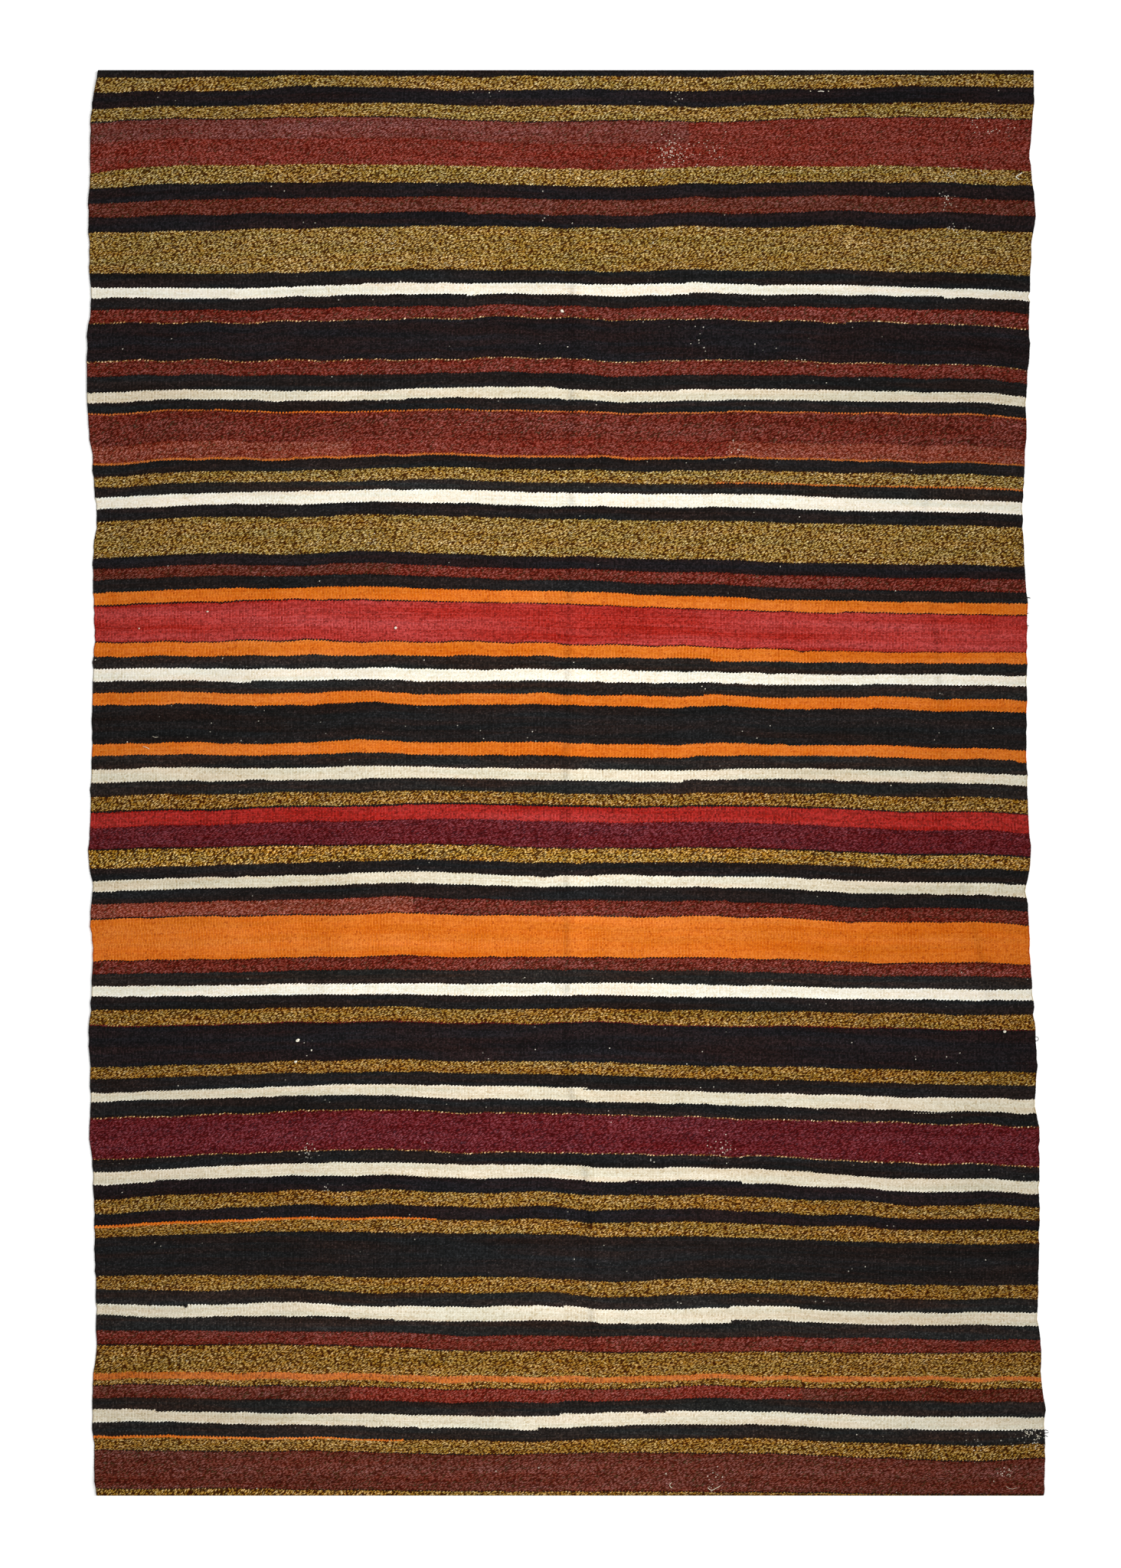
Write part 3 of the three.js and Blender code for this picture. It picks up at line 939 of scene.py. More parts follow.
def make_cloth(net, material):
    """The whole cloth as one closed sheet, marked with all that the wool's finish reads."""
    aside, above = net.half * net.normal_down, net.half * net.normal_up
    outer = np.stack([net.across, LENGTH / 2 - net.down - aside, net.up + above], axis=2)
    inner = np.stack([net.across, LENGTH / 2 - net.down + aside, net.up - above], axis=2)
    points = np.concatenate([outer.reshape(-1, 3), inner[:, 1:-1].reshape(-1, 3)]) * MM
    sheet = closed_sheet(*net.across.shape)
    mesh = new_mesh("kilim_cloth", points, sheet.faces)
    mesh.polygons.foreach_set("use_smooth", np.ones(len(sheet.faces), bool))
    mark_yarns(mesh, net, sheet)
    mark_sides(mesh, net, sheet)
    mark_rubbed(mesh, net, sheet)
    map_cloth(mesh, net, sheet)
    return new_piece("kilim_cloth", mesh, material)


def add(tree, kind, inputs=None, **settings):
    """A node with its settings, and with its inputs set to values or linked to other nodes."""
    made = tree.nodes.new(kind)
    for name, value in settings.items():
        setattr(made, name, value)
    for key, value in (inputs or {}).items():
        if isinstance(value, bpy.types.Node):
            value = value.outputs[0]
        if isinstance(value, bpy.types.NodeSocket):
            tree.links.new(value, made.inputs[key])
        else:
            made.inputs[key].default_value = value
    return made


def new_material(name):
    material = bpy.data.materials.new(name)
    material.use_nodes = True
    material.node_tree.nodes.clear()
    return material, material.node_tree


def yarn_shades(tree, yarn):
    """The colours and the traits of the yarn with that number, in the order of the table."""
    place = add(tree, "ShaderNodeMath", {0: yarn, 1: 0.5}, operation="ADD")
    place = add(tree, "ShaderNodeMath", {0: place, 1: len(YARNS)}, operation="DIVIDE")
    rows = YARNS.values()
    looked_up = []
    for values in (
        [linear(y.body) for y in rows],
        [linear(y.ply) for y in rows],
        [linear(y.fleck) for y in rows],
        [(y.share, y.flecks, y.marl, 1.0) for y in rows],
        [(y.streak, y.tint, y.worn, y.coarse) for y in rows],
    ):
        ramp = add(tree, "ShaderNodeValToRGB", {0: place})
        ramp.color_ramp.interpolation = "CONSTANT"
        stops = ramp.color_ramp.elements
        while len(stops) < len(values):
            stops.new(1.0)
        for number, value in enumerate(values):
            stops[number].position = number / len(values)
            stops[number].color = value
        looked_up.append(ramp.outputs["Color"])
    first = add(tree, "ShaderNodeSeparateColor", {0: looked_up[3]}).outputs
    second = add(tree, "ShaderNodeSeparateColor", {0: looked_up[4]}).outputs
    return [*looked_up[:3], *first, *second, ramp.outputs["Alpha"]]


def patchy(tree, name):
    """The inputs of a noise that has patches of that name, laid over the weave."""
    patch = PATCHES[name]
    place = add(tree, "ShaderNodeUVMap", uv_map="Weave")
    counted = {0: place, 1: (1 / patch.across, 1 / patch.down, 0)}
    counted = add(tree, "ShaderNodeVectorMath", counted, operation="MULTIPLY")
    return {"Vector": counted, "Scale": 1.0, "Detail": patch.detail}


def within(shades, chance):
    """The inputs of a shade that chance picks."""
    return {0: chance, 1: shades.spread, 2: shades.least}


def faded(name, cause):
    """The inputs of a range that follows its cause as the fade of that name says."""
    fade = FADES[name]
    return {0: cause, 1: fade.low, 2: fade.high, 3: fade.at_low, 4: fade.at_high}


def handspun_wool():
    """Hand-spun, vegetable-dyed wool in a weft-faced plain weave. To the eye it is matt, ribbed lengthwise over
    the warps, and toothed where two yarns meet. The marled stripes are a mass of slanting light and dark
    grains."""
    material, tree = new_material("Hand-spun wool, weft-faced weave")
    place = add(tree, "ShaderNodeUVMap", uv_map="Weave")
    split = add(tree, "ShaderNodeSeparateXYZ", {0: place})
    across, down = split.outputs[0], split.outputs[1]

    # The rib over each warp, and the floats on it, which neighbouring ribs hold half a float apart.
    rib = add(tree, "ShaderNodeMath", {0: across, 1: WARP_PITCH}, operation="DIVIDE")
    rib_number = add(tree, "ShaderNodeMath", {0: rib}, operation="FLOOR")
    in_rib = add(tree, "ShaderNodeMath", {0: rib}, operation="FRACT")
    odd = add(tree, "ShaderNodeMath", {0: rib_number, 1: 2.0}, operation="MODULO")
    sway = add(tree, "ShaderNodeTexNoise", patchy(tree, "sway"))
    leaning = add(tree, "ShaderNodeMath", {0: in_rib, 1: PICK_LEAN, 2: down}, operation="MULTIPLY_ADD")
    swayed = add(tree, "ShaderNodeMath", {0: sway, 1: PICK_SWAY, 2: leaning}, operation="MULTIPLY_ADD")
    pick = add(tree, "ShaderNodeMath", {0: swayed, 1: FLOAT_PITCH}, operation="DIVIDE")
    pick = add(tree, "ShaderNodeMath", {0: odd, 1: 0.5, 2: pick}, operation="MULTIPLY_ADD")
    float_number = add(tree, "ShaderNodeMath", {0: pick}, operation="FLOOR")
    in_float = add(tree, "ShaderNodeMath", {0: pick}, operation="FRACT")
    cell = add(tree, "ShaderNodeCombineXYZ", {0: rib_number, 1: float_number})
    chance = add(tree, "ShaderNodeTexWhiteNoise", {"Vector": cell})
    chances = add(tree, "ShaderNodeSeparateColor", {0: chance.outputs["Color"]}).outputs
    rib_side = add(tree, "ShaderNodeMath", {0: in_rib, 1: 2.0, 2: -1.0}, operation="MULTIPLY_ADD")
    rib_side = add(tree, "ShaderNodeMath", {0: rib_side, 1: rib_side}, operation="MULTIPLY")
    rib_form = add(tree, "ShaderNodeMath", {0: 1.0, 1: rib_side}, operation="SUBTRACT")
    float_side = add(tree, "ShaderNodeMath", {0: in_float, 1: 2.0, 2: -1.0}, operation="MULTIPLY_ADD")
    float_side = add(tree, "ShaderNodeMath", {0: float_side, 1: float_side}, operation="MULTIPLY")
    float_form = add(tree, "ShaderNodeMath", {0: 1.0, 1: float_side}, operation="SUBTRACT")

    # A float is all of one yarn, so the sides of the stripes are toothed. Its middle decides which stripe it
    # is in.
    half = FLOAT_PITCH / 2
    to_middle = add(tree, "ShaderNodeMath", {0: in_float, 1: -FLOAT_PITCH, 2: half}, operation="MULTIPLY_ADD")
    stray = add(tree, "ShaderNodeTexNoise", patchy(tree, "side stray"))
    stray = add(tree, "ShaderNodeMath", {0: stray, 1: 2 * SIDE_STRAY, 2: -SIDE_STRAY}, operation="MULTIPLY_ADD")
    offset = add(tree, "ShaderNodeMath", {0: stray, 1: to_middle}, operation="ADD")
    from_above = add(tree, "ShaderNodeAttribute", attribute_name="from_above")
    from_below = add(tree, "ShaderNodeAttribute", attribute_name="from_below")
    to_above = add(tree, "ShaderNodeMath", {0: from_above.outputs["Fac"], 1: offset}, operation="ADD")
    to_below = add(tree, "ShaderNodeMath", {0: from_below.outputs["Fac"], 1: offset}, operation="SUBTRACT")
    is_above = add(tree, "ShaderNodeMath", {0: to_above, 1: 0.0}, operation="LESS_THAN")
    is_below = add(tree, "ShaderNodeMath", {0: to_below, 1: 0.0}, operation="LESS_THAN")
    here = add(tree, "ShaderNodeAttribute", attribute_name="yarn_here").outputs["Fac"]
    above = add(tree, "ShaderNodeAttribute", attribute_name="yarn_above").outputs["Fac"]
    below = add(tree, "ShaderNodeAttribute", attribute_name="yarn_below").outputs["Fac"]
    yarn = add(tree, "ShaderNodeMix", {0: is_above, 2: here, 3: above})
    yarn = add(tree, "ShaderNodeMix", {0: is_below, 2: yarn, 3: below})
    body, ply, fleck, share, flecks, marl, streak, tint, worn, coarse = yarn_shades(tree, yarn)

    # The grains of the marled yarns. In the others the strands match, and the floats show instead.
    upright = add(tree, "ShaderNodeVectorMath", {0: place, 1: (1.0, -1.0, 0.0)}, operation="MULTIPLY")
    uneven = add(tree, "ShaderNodeTexNoise", patchy(tree, "spinning"))
    upright = {0: uneven.outputs["Color"], 1: GRAIN_BEND, 2: upright}
    upright = add(tree, "ShaderNodeVectorMath", upright, operation="MULTIPLY_ADD")
    slanted = add(
        tree,
        "ShaderNodeMapping",
        {
            "Vector": upright,
            "Rotation": (0, 0, math.radians(GRAIN_SLANT)),
            "Scale": (GRAIN_LENGTH, GRAIN_THICKNESS, 1.0),
        },
        vector_type="TEXTURE",
    )
    slanted = add(tree, "ShaderNodeVectorMath", {0: slanted, 1: coarse}, operation="DIVIDE")
    grain = add(
        tree,
        "ShaderNodeTexVoronoi",
        {"Vector": slanted, "Scale": 1.0, "Randomness": GRAIN_UNEVEN},
        voronoi_dimensions="2D",
    )
    grain_chances = add(tree, "ShaderNodeSeparateColor", {0: grain.outputs["Color"]}).outputs
    grain_form = add(tree, "ShaderNodeMapRange", faded("grain form", grain.outputs["Distance"]))
    which = add(tree, "ShaderNodeMix", {0: marl, 2: chances[0], 3: grain_chances[0]})
    which_fleck = add(tree, "ShaderNodeMix", {0: marl, 2: chances[1], 3: grain_chances[1]})
    is_ply = add(tree, "ShaderNodeMath", {0: which, 1: share}, operation="LESS_THAN")
    is_fleck = add(tree, "ShaderNodeMath", {0: which_fleck, 1: flecks}, operation="LESS_THAN")
    colour = add(tree, "ShaderNodeMix", {0: is_ply, 6: body, 7: ply}, data_type="RGBA")
    colour = add(tree, "ShaderNodeMix", {0: is_fleck, 6: colour.outputs[2], 7: fleck}, data_type="RGBA")
    # Painted shade: between the grains the colour is painted over towards the dark ply.
    gap = add(tree, "ShaderNodeMapRange", faded("painted shade between grains", grain_form))
    gap = add(tree, "ShaderNodeMath", {0: gap, 1: marl}, operation="MULTIPLY")
    colour = add(tree, "ShaderNodeMix", {0: gap, 6: colour.outputs[2], 7: ply}, data_type="RGBA")

    # Each pick strays in shade, each float a little too, and the dye's hue drifts over a hand's breadth.
    pick_shade = add(tree, "ShaderNodeTexNoise", patchy(tree, "pick"))
    abrash = add(tree, "ShaderNodeTexNoise", patchy(tree, "abrash"))
    strays = add(tree, "ShaderNodeMath", {0: pick_shade, 1: abrash}, operation="ADD")
    strays = add(tree, "ShaderNodeMath", {0: strays, 1: -1.0}, operation="ADD")
    strays = add(tree, "ShaderNodeMath", {0: strays, 1: streak}, operation="MULTIPLY")
    shade = add(tree, "ShaderNodeMath", {0: strays, 1: 2.0, 2: 1.0}, operation="MULTIPLY_ADD")
    float_shade = add(tree, "ShaderNodeMath", within(FLOAT_SHADES, chances[1]), operation="MULTIPLY_ADD")
    grain_shade = add(tree, "ShaderNodeMath", {0: grain_chances[2], 1: 2.0}, operation="POWER")
    grain_shade = add(tree, "ShaderNodeMath", within(GRAIN_SHADES, grain_shade), operation="MULTIPLY_ADD")
    marled_shade = add(tree, "ShaderNodeMath", within(MARLED_SHADES, chances[1]), operation="MULTIPLY_ADD")
    marled_shade = add(tree, "ShaderNodeMath", {0: marled_shade, 1: grain_shade}, operation="MULTIPLY")
    single = add(tree, "ShaderNodeMix", {0: marl, 2: float_shade, 3: marled_shade})
    shade = add(tree, "ShaderNodeMath", {0: shade, 1: single}, operation="MULTIPLY")
    drift = add(tree, "ShaderNodeTexNoise", patchy(tree, "hue"))
    drift = add(tree, "ShaderNodeMapRange", faded("hue", drift))
    single_hue = add(tree, "ShaderNodeMath", {0: grain_chances[0], 1: 7.0}, operation="MULTIPLY")
    single_hue = add(tree, "ShaderNodeMath", {0: single_hue}, operation="FRACT")
    own = add(tree, "ShaderNodeMath", {0: marl, 1: OWN_HUE}, operation="MULTIPLY")
    drift = add(tree, "ShaderNodeMix", {0: own, 2: drift, 3: single_hue})
    hue = add(tree, "ShaderNodeMix", {0: drift, 6: WARM_HUE, 7: COOL_HUE}, data_type="RGBA")
    hue = add(tree, "ShaderNodeMix", {0: tint, 6: NO_HUE, 7: hue.outputs[2]}, data_type="RGBA")
    colour = add(tree, "ShaderNodeVectorMath", {0: colour.outputs[2], 1: hue.outputs[2]}, operation="MULTIPLY")

    # The light and shade of ribs, floats and grains is painted into the colour: wool sinks out of the light and
    # is
    #     painted darker between them, and the middle of a grain is painted brighter. Pale wool lets light
    #     through and stays brighter.
    rib_light = add(tree, "ShaderNodeMapRange", faded("light on a rib", rib_form))
    float_light = add(tree, "ShaderNodeMapRange", faded("light on a float", float_form))
    woven_light = add(tree, "ShaderNodeMath", {0: rib_light, 1: float_light}, operation="MULTIPLY")
    slack = add(tree, "ShaderNodeTexNoise", patchy(tree, "slack"))
    slack = add(tree, "ShaderNodeMapRange", faded("light on a slack rib", slack))
    sunk = add(tree, "ShaderNodeMix", {0: odd, 2: 1.0, 3: slack})
    woven_light = add(tree, "ShaderNodeMath", {0: woven_light, 1: sunk}, operation="MULTIPLY")
    paleness = add(tree, "ShaderNodeRGBToBW", {0: body})
    woven_light = add(tree, "ShaderNodeMix", {0: paleness, 2: woven_light, 3: PALE_LIGHT})
    grain_light = add(tree, "ShaderNodeMapRange", faded("light on a grain", grain_form))
    between = add(tree, "ShaderNodeMix", {0: 0.5, 2: 1.0, 3: woven_light})
    grain_light = add(tree, "ShaderNodeMath", {0: grain_light, 1: between}, operation="MULTIPLY")
    light = add(tree, "ShaderNodeMix", {0: marl, 2: woven_light, 3: grain_light})
    shade = add(tree, "ShaderNodeMath", {0: shade, 1: light}, operation="MULTIPLY")

    # The last pick of a pale stripe stands up against a dark one and shades it: the pale side is painted
    # lighter
    #     as a highlight, and the dark side is painted darker as shade. The cloth at the selvedges, where the
    #     weft turns, is painted darker as shadow.
    beside_above = add(tree, "ShaderNodeMath", {0: to_above}, operation="ABSOLUTE")
    beside_below = add(tree, "ShaderNodeMath", {0: to_below}, operation="ABSOLUTE")
    beside = add(tree, "ShaderNodeMath", {0: beside_above, 1: beside_below}, operation="MINIMUM")
    beside = add(tree, "ShaderNodeMapRange", faded("beside another yarn", beside))
    standing = add(tree, "ShaderNodeMapRange", faded("light on a last pick", paleness))
    standing = add(tree, "ShaderNodeMix", {0: beside, 2: 1.0, 3: standing})
    shade = add(tree, "ShaderNodeMath", {0: shade, 1: standing}, operation="MULTIPLY")
    off_middle = add(tree, "ShaderNodeMath", {0: across, 1: -WOVEN_WIDTH / 2}, operation="ADD")
    off_middle = add(tree, "ShaderNodeMath", {0: off_middle}, operation="ABSOLUTE")
    turning = add(tree, "ShaderNodeMath", {0: WOVEN_WIDTH / 2, 1: off_middle}, operation="SUBTRACT")
    turning = add(tree, "ShaderNodeMapRange", faded("light on a turn", turning))
    shade = add(tree, "ShaderNodeMath", {0: shade, 1: turning}, operation="MULTIPLY")

    # Fibres that catch the light lose their colour, and in the shade the dye looks deeper. So the shade is
    # added to the square root of each channel, where equal steps look equal, and not multiplied. Blue has the
    # largest step.
    step = add(tree, "ShaderNodeMath", {0: shade}, operation="SQRT")
    step = add(tree, "ShaderNodeMath", {0: step, 1: -1.0}, operation="ADD")
    lightness = add(tree, "ShaderNodeRGBToBW", {0: colour})
    lightness = add(tree, "ShaderNodeMath", {0: lightness}, operation="SQRT")
    step = add(tree, "ShaderNodeMath", {0: step, 1: lightness}, operation="MULTIPLY")
    step = add(tree, "ShaderNodeVectorMath", {0: SHADE_STEP, "Scale": step}, operation="SCALE")
    root = add(tree, "ShaderNodeGamma", {"Color": colour, "Gamma": 0.5})
    root = add(tree, "ShaderNodeVectorMath", {0: root, 1: step}, operation="ADD")
    root = add(tree, "ShaderNodeVectorMath", {0: root, 1: DARKEST}, operation="MAXIMUM")
    colour = add(tree, "ShaderNodeGamma", {"Color": root, "Gamma": 2.0})

    # Where the weft is rubbed thin, a pale warp shows between two floats. It happens in clusters.
    rubbed = add(tree, "ShaderNodeTexNoise", patchy(tree, "rubbed"))
    rubbed = add(tree, "ShaderNodeMapRange", faded("rubbed", rubbed))
    often = add(tree, "ShaderNodeMath", {0: rubbed, 1: worn}, operation="MULTIPLY")
    thin = add(tree, "ShaderNodeAttribute", attribute_name="rubbed").outputs["Fac"]
    often = add(tree, "ShaderNodeMath", {0: often, 1: thin}, operation="ADD")
    bare = add(tree, "ShaderNodeMath", {0: chances[2], 1: often}, operation="LESS_THAN")
    inside = add(tree, "ShaderNodeMath", {0: rib_form, 1: float_form}, operation="MULTIPLY")
    inside = add(tree, "ShaderNodeMath", {0: inside, 1: 0.5}, operation="GREATER_THAN")
    bare = add(tree, "ShaderNodeMath", {0: bare, 1: inside}, operation="MULTIPLY")
    faint = add(tree, "ShaderNodeMath", {0: chances[0], 1: chances[0]}, operation="MULTIPLY")
    faint = add(tree, "ShaderNodeMath", {0: thin, 1: WARP_CLEARER, 2: faint}, operation="MULTIPLY_ADD")
    bare = add(tree, "ShaderNodeMath", {0: bare, 1: faint}, operation="MULTIPLY", use_clamp=True)
    warp = add(tree, "ShaderNodeMix", {0: WARP_HIDDEN, 6: linear(WARP_COLOUR), 7: body}, data_type="RGBA")
    colour = add(tree, "ShaderNodeMix", {0: bare, 6: colour, 7: warp.outputs[2]}, data_type="RGBA")

    fibres = add(tree, "ShaderNodeTexNoise", patchy(tree, "fibre"))
    woven_height = add(tree, "ShaderNodeMath", {0: rib_form, 1: RIB_HEIGHT}, operation="MULTIPLY")
    woven_height = {0: float_form, 1: FLOAT_HEIGHT, 2: woven_height}
    woven_height = add(tree, "ShaderNodeMath", woven_height, operation="MULTIPLY_ADD")
    lofty = add(tree, "ShaderNodeMapRange", faded("loft", paleness))
    woven_height = add(tree, "ShaderNodeMath", {0: woven_height, 1: lofty}, operation="MULTIPLY")
    grain_height = add(tree, "ShaderNodeMath", {0: grain_form, 1: GRAIN_HEIGHT}, operation="MULTIPLY")
    height = add(tree, "ShaderNodeMix", {0: marl, 2: woven_height, 3: grain_height})
    height = add(tree, "ShaderNodeMath", {0: fibres, 1: FIBRE_HEIGHT, 2: height}, operation="MULTIPLY_ADD")
    bump = add(tree, "ShaderNodeBump", {"Height": height, "Distance": MM, "Strength": 1.0})
    matt = add(tree, "ShaderNodeMapRange", faded("roughness", fibres))
    wool = add(
        tree,
        "ShaderNodeBsdfPrincipled",
        {
            "Base Color": colour.outputs[2],
            "Roughness": matt,
            "Normal": bump,
            "Specular IOR Level": 0.04,
            "Sheen Weight": 0.03,
            "Sheen Roughness": 0.5,
        },
    )
    add(tree, "ShaderNodeOutputMaterial", {"Surface": wool})
    return material


def twisted_yarn():
    """Two-ply hand-spun wool, for the strands that stand clear of the weave. It is matt, and a fine slanting
    ridge where one ply winds round the other breaks up its colour. The strands at the selvedges and hems are
    painted darker, towards the dark ply, as painted shade."""
    material, tree = new_material("Two-ply hand-spun wool yarn")
    yarn = add(tree, "ShaderNodeAttribute", attribute_name="yarn_here").outputs["Fac"]
    body, ply = yarn_shades(tree, yarn)[:2]
    place = add(tree, "ShaderNodeTexCoord").outputs["Object"]
    wound = {"Vector": place, "Rotation": (0.6, 0.4, 0.7), "Scale": (1.1, 0.5, 0.5)}
    wound = add(tree, "ShaderNodeMapping", wound)
    plies = add(tree, "ShaderNodeTexNoise", {"Vector": wound, "Scale": 1 / MM, "Detail": 2.0})
    unshaded_share = add(tree, "ShaderNodeAttribute", attribute_name="unshaded_share").outputs["Fac"]
    winding = add(tree, "ShaderNodeMapRange", faded("winding of a ply", plies))
    # Painted shade: on the strands at the selvedges and hems, less of the paler ply shows and the colour goes
    # towards the dark ply.
    winding = add(tree, "ShaderNodeMath", {0: winding, 1: unshaded_share}, operation="MULTIPLY")
    colour = add(tree, "ShaderNodeMix", {0: winding, 6: ply, 7: body}, data_type="RGBA")
    bump = add(tree, "ShaderNodeBump", {"Height": plies, "Distance": 0.3 * MM, "Strength": 1.0})
    wool = add(
        tree,
        "ShaderNodeBsdfPrincipled",
        {
            "Base Color": colour.outputs[2],
            "Roughness": 0.9,
            "Normal": bump,
            "Specular IOR Level": 0.08,
            "Sheen Weight": 0.05,
            "Sheen Roughness": 0.5,
        },
    )
    add(tree, "ShaderNodeOutputMaterial", {"Surface": wool})
    return material


def lay_out(mesh, copies, sides):
    """A map for the bake, with a cell of its own for each of the equal strands that a mesh holds."""
    per_copy = len(mesh.vertices) // copies
    corners = np.empty(len(mesh.loops), np.int32)
    mesh.loops.foreach_get("vertex_index", corners)
    copy, place = np.divmod(corners, per_copy)
    ring, turn = np.divmod(place, sides)
    cells = math.ceil(math.sqrt(copies))
    inside = 1 - 2 * CELL_MARGIN
    along = (copy % cells + CELL_MARGIN + inside * ring / (per_copy // sides - 1)) / cells
    around = (copy // cells + CELL_MARGIN + inside * turn / (sides - 1)) / cells
    add_map(mesh, "OFBake", np.stack([along, around], axis=1), slice(None))


def face_height(across, down):
    """The height of the cloth's face at some places."""
    return hem_height(down) + crease_lift(across, down) + cockle(across, down) + THICKNESS / 2


def strand(path, thickness):
    """The points of a strand of yarn along a smooth curve through some places, one ring after another."""
    path = np.array(path, float)
    run = np.concatenate([[0.0], np.cumsum(np.linalg.norm(np.diff(path, axis=0), axis=1))])
    at = np.linspace(0.0, run[-1], STRAND_RINGS)
    middle = np.stack([through(run, path[:, k], at) for k in range(3)], axis=1)
    ahead = np.gradient(middle, axis=0)
    ahead /= np.linalg.norm(ahead, axis=1)[:, None]
    aside = np.cross(ahead, (0.0, 0.0, 1.0))
    aside /= np.linalg.norm(aside, axis=1)[:, None]
    upward = np.cross(aside, ahead)
    share = np.abs(np.linspace(-1, 1, STRAND_RINGS))
    radius = thickness / 2 * (1 - STRAND_TAPER * share**8)
    points = []
    for k in range(STRAND_SIDES):
        angle = 2 * math.pi * k / STRAND_SIDES
        spoke = math.cos(angle) * aside + math.sin(angle) * upward
        points.append(middle + spoke * radius[:, None])
    return np.stack(points, axis=1).reshape(-1, 3)


def make_strands(name, strands, material):
    """One mesh of several strands, from the yarn and the points of each."""
    faces = []
    for number in range(len(strands)):
        start = number * STRAND_RINGS * STRAND_SIDES
        for ring in range(STRAND_RINGS - 1):
            for k in range(STRAND_SIDES):
                a = start + ring * STRAND_SIDES + k
                b = start + ring * STRAND_SIDES + (k + 1) % STRAND_SIDES
                faces.append((a, b, b + STRAND_SIDES, a + STRAND_SIDES))
        faces.append([start + k for k in reversed(range(STRAND_SIDES))])
        faces.append([start + (STRAND_RINGS - 1) * STRAND_SIDES + k for k in range(STRAND_SIDES)])
    points = np.concatenate([points for _, points in strands])
    points[:, 1] = LENGTH / 2 - points[:, 1]
    mesh = new_mesh(name, points * MM, [face[::-1] for face in faces])
    mesh.polygons.foreach_set("use_smooth", np.ones(len(faces), bool))
    yarns = [YARN_NAMES.index(yarn) for yarn, _ in strands]
    set_attribute(mesh, "yarn_here", "POINT", np.repeat(yarns, STRAND_RINGS * STRAND_SIDES))
    set_attribute(mesh, "unshaded_share", "POINT", np.ones(len(points)))
    lay_out(mesh, len(strands), STRAND_SIDES)
    return new_piece(name, mesh, material)


def warp_knots(material):
    """Each knot is one strand wound round itself and pulled flat."""
    strands = []
    for knot in KNOTS:
        thickness = KNOT_THICKNESS * min(knot.width, knot.height)
        wound = np.linspace(0.0, 1.0, KNOT_STEPS)
        angle = 2 * math.pi * KNOT_TURNS * wound
        wide = (knot.width - thickness) / 2 * (1 - KNOT_TIGHTENED * wound) * np.cos(angle)
        high = (knot.height - thickness) / 2 * (1 - KNOT_TIGHTENED * wound) * np.sin(angle)
        turn = math.radians(knot.turned)
        across = knot.across + wide * math.cos(turn) - high * math.sin(turn)
        down = knot.down - wide * math.sin(turn) - high * math.cos(turn)
        lift = thickness * (KNOT_LIFT[0] + KNOT_LIFT[1] * wound)
        path = np.stack([across, down, face_height(across, down) + lift], axis=1)
        strands.append((knot.yarn, strand(path, thickness)))
    return make_strands("warp_knots", strands, material)


def loose_threads(material):
    """Each thread lies on the cloth, with both its ends drawn down into the weave."""
    strands = []
    for thread in THREADS:
        across, down = np.array(thread.path).T
        resting = np.minimum(across, right_edge(down) - EDGE_ROUND)
        lift = np.full(len(across), THREAD_LIFT * thread.thickness)
        ends = [0, -1]
        stands_out = across[ends] > right_edge(down[ends])
        lift[ends] = np.where(stands_out, THREAD_HANGING, THREAD_SUNK) * thread.thickness
        path = np.stack([across, down, face_height(resting, down) + lift], axis=1)
        strands.append((thread.yarn, strand(path, thread.thickness)))
    return make_strands("loose_threads", strands, material)


def new_tree(name, sizes):
    """A Geometry Nodes tree with an input for each named size, and the sockets that its inputs come from."""
    tree = bpy.data.node_groups.new(name, "GeometryNodeTree")
    kinds = {float: "NodeSocketFloat", int: "NodeSocketInt", bpy.types.Material: "NodeSocketMaterial"}
    tree.interface.new_socket("Geometry", in_out="OUTPUT", socket_type="NodeSocketGeometry")
    tree.interface.new_socket("Geometry", in_out="INPUT", socket_type="NodeSocketGeometry")
    for size, value in sizes.items():
        tree.interface.new_socket(size, in_out="INPUT", socket_type=kinds[type(value)])
    return tree, add(tree, "NodeGroupInput").outputs


def set_along(tree, given, bight):
    """The rest of a tree: it sets a copy of one bight of yarn on every point, turned and sized at random."""
    facing = add(tree, "GeometryNodeInputNamedAttribute", {"Name": "facing"}, data_type="FLOAT")
    lean = add(tree, "ShaderNodeMath", {0: given["Lean"], 1: -1.0}, operation="MULTIPLY")
    lean = {2: lean, 3: given["Lean"], "Seed": given["Seed"]}
    lean = add(tree, "FunctionNodeRandomValue", lean, data_type="FLOAT")
    turned = add(tree, "ShaderNodeCombineXYZ", {0: lean.outputs[1], 2: facing})
    size = {2: BIGHT_SIZES[0], 3: BIGHT_SIZES[1], "Seed": given["Seed"]}
    size = add(tree, "FunctionNodeRandomValue", size, data_type="FLOAT")
    set_on = add(tree, "GeometryNodeInstanceOnPoints", {"Points": given["Geometry"], "Instance": bight})
    tree.links.new(turned.outputs[0], set_on.inputs["Rotation"])
    tree.links.new(size.outputs[1], set_on.inputs["Scale"])
    real = add(tree, "GeometryNodeRealizeInstances", {0: set_on})
    rounded = add(tree, "GeometryNodeSetShadeSmooth", {0: real})
    coloured = add(tree, "GeometryNodeSetMaterial", {"Geometry": rounded, "Material": given["Material"]})
    add(tree, "NodeGroupOutput", {0: coloured})


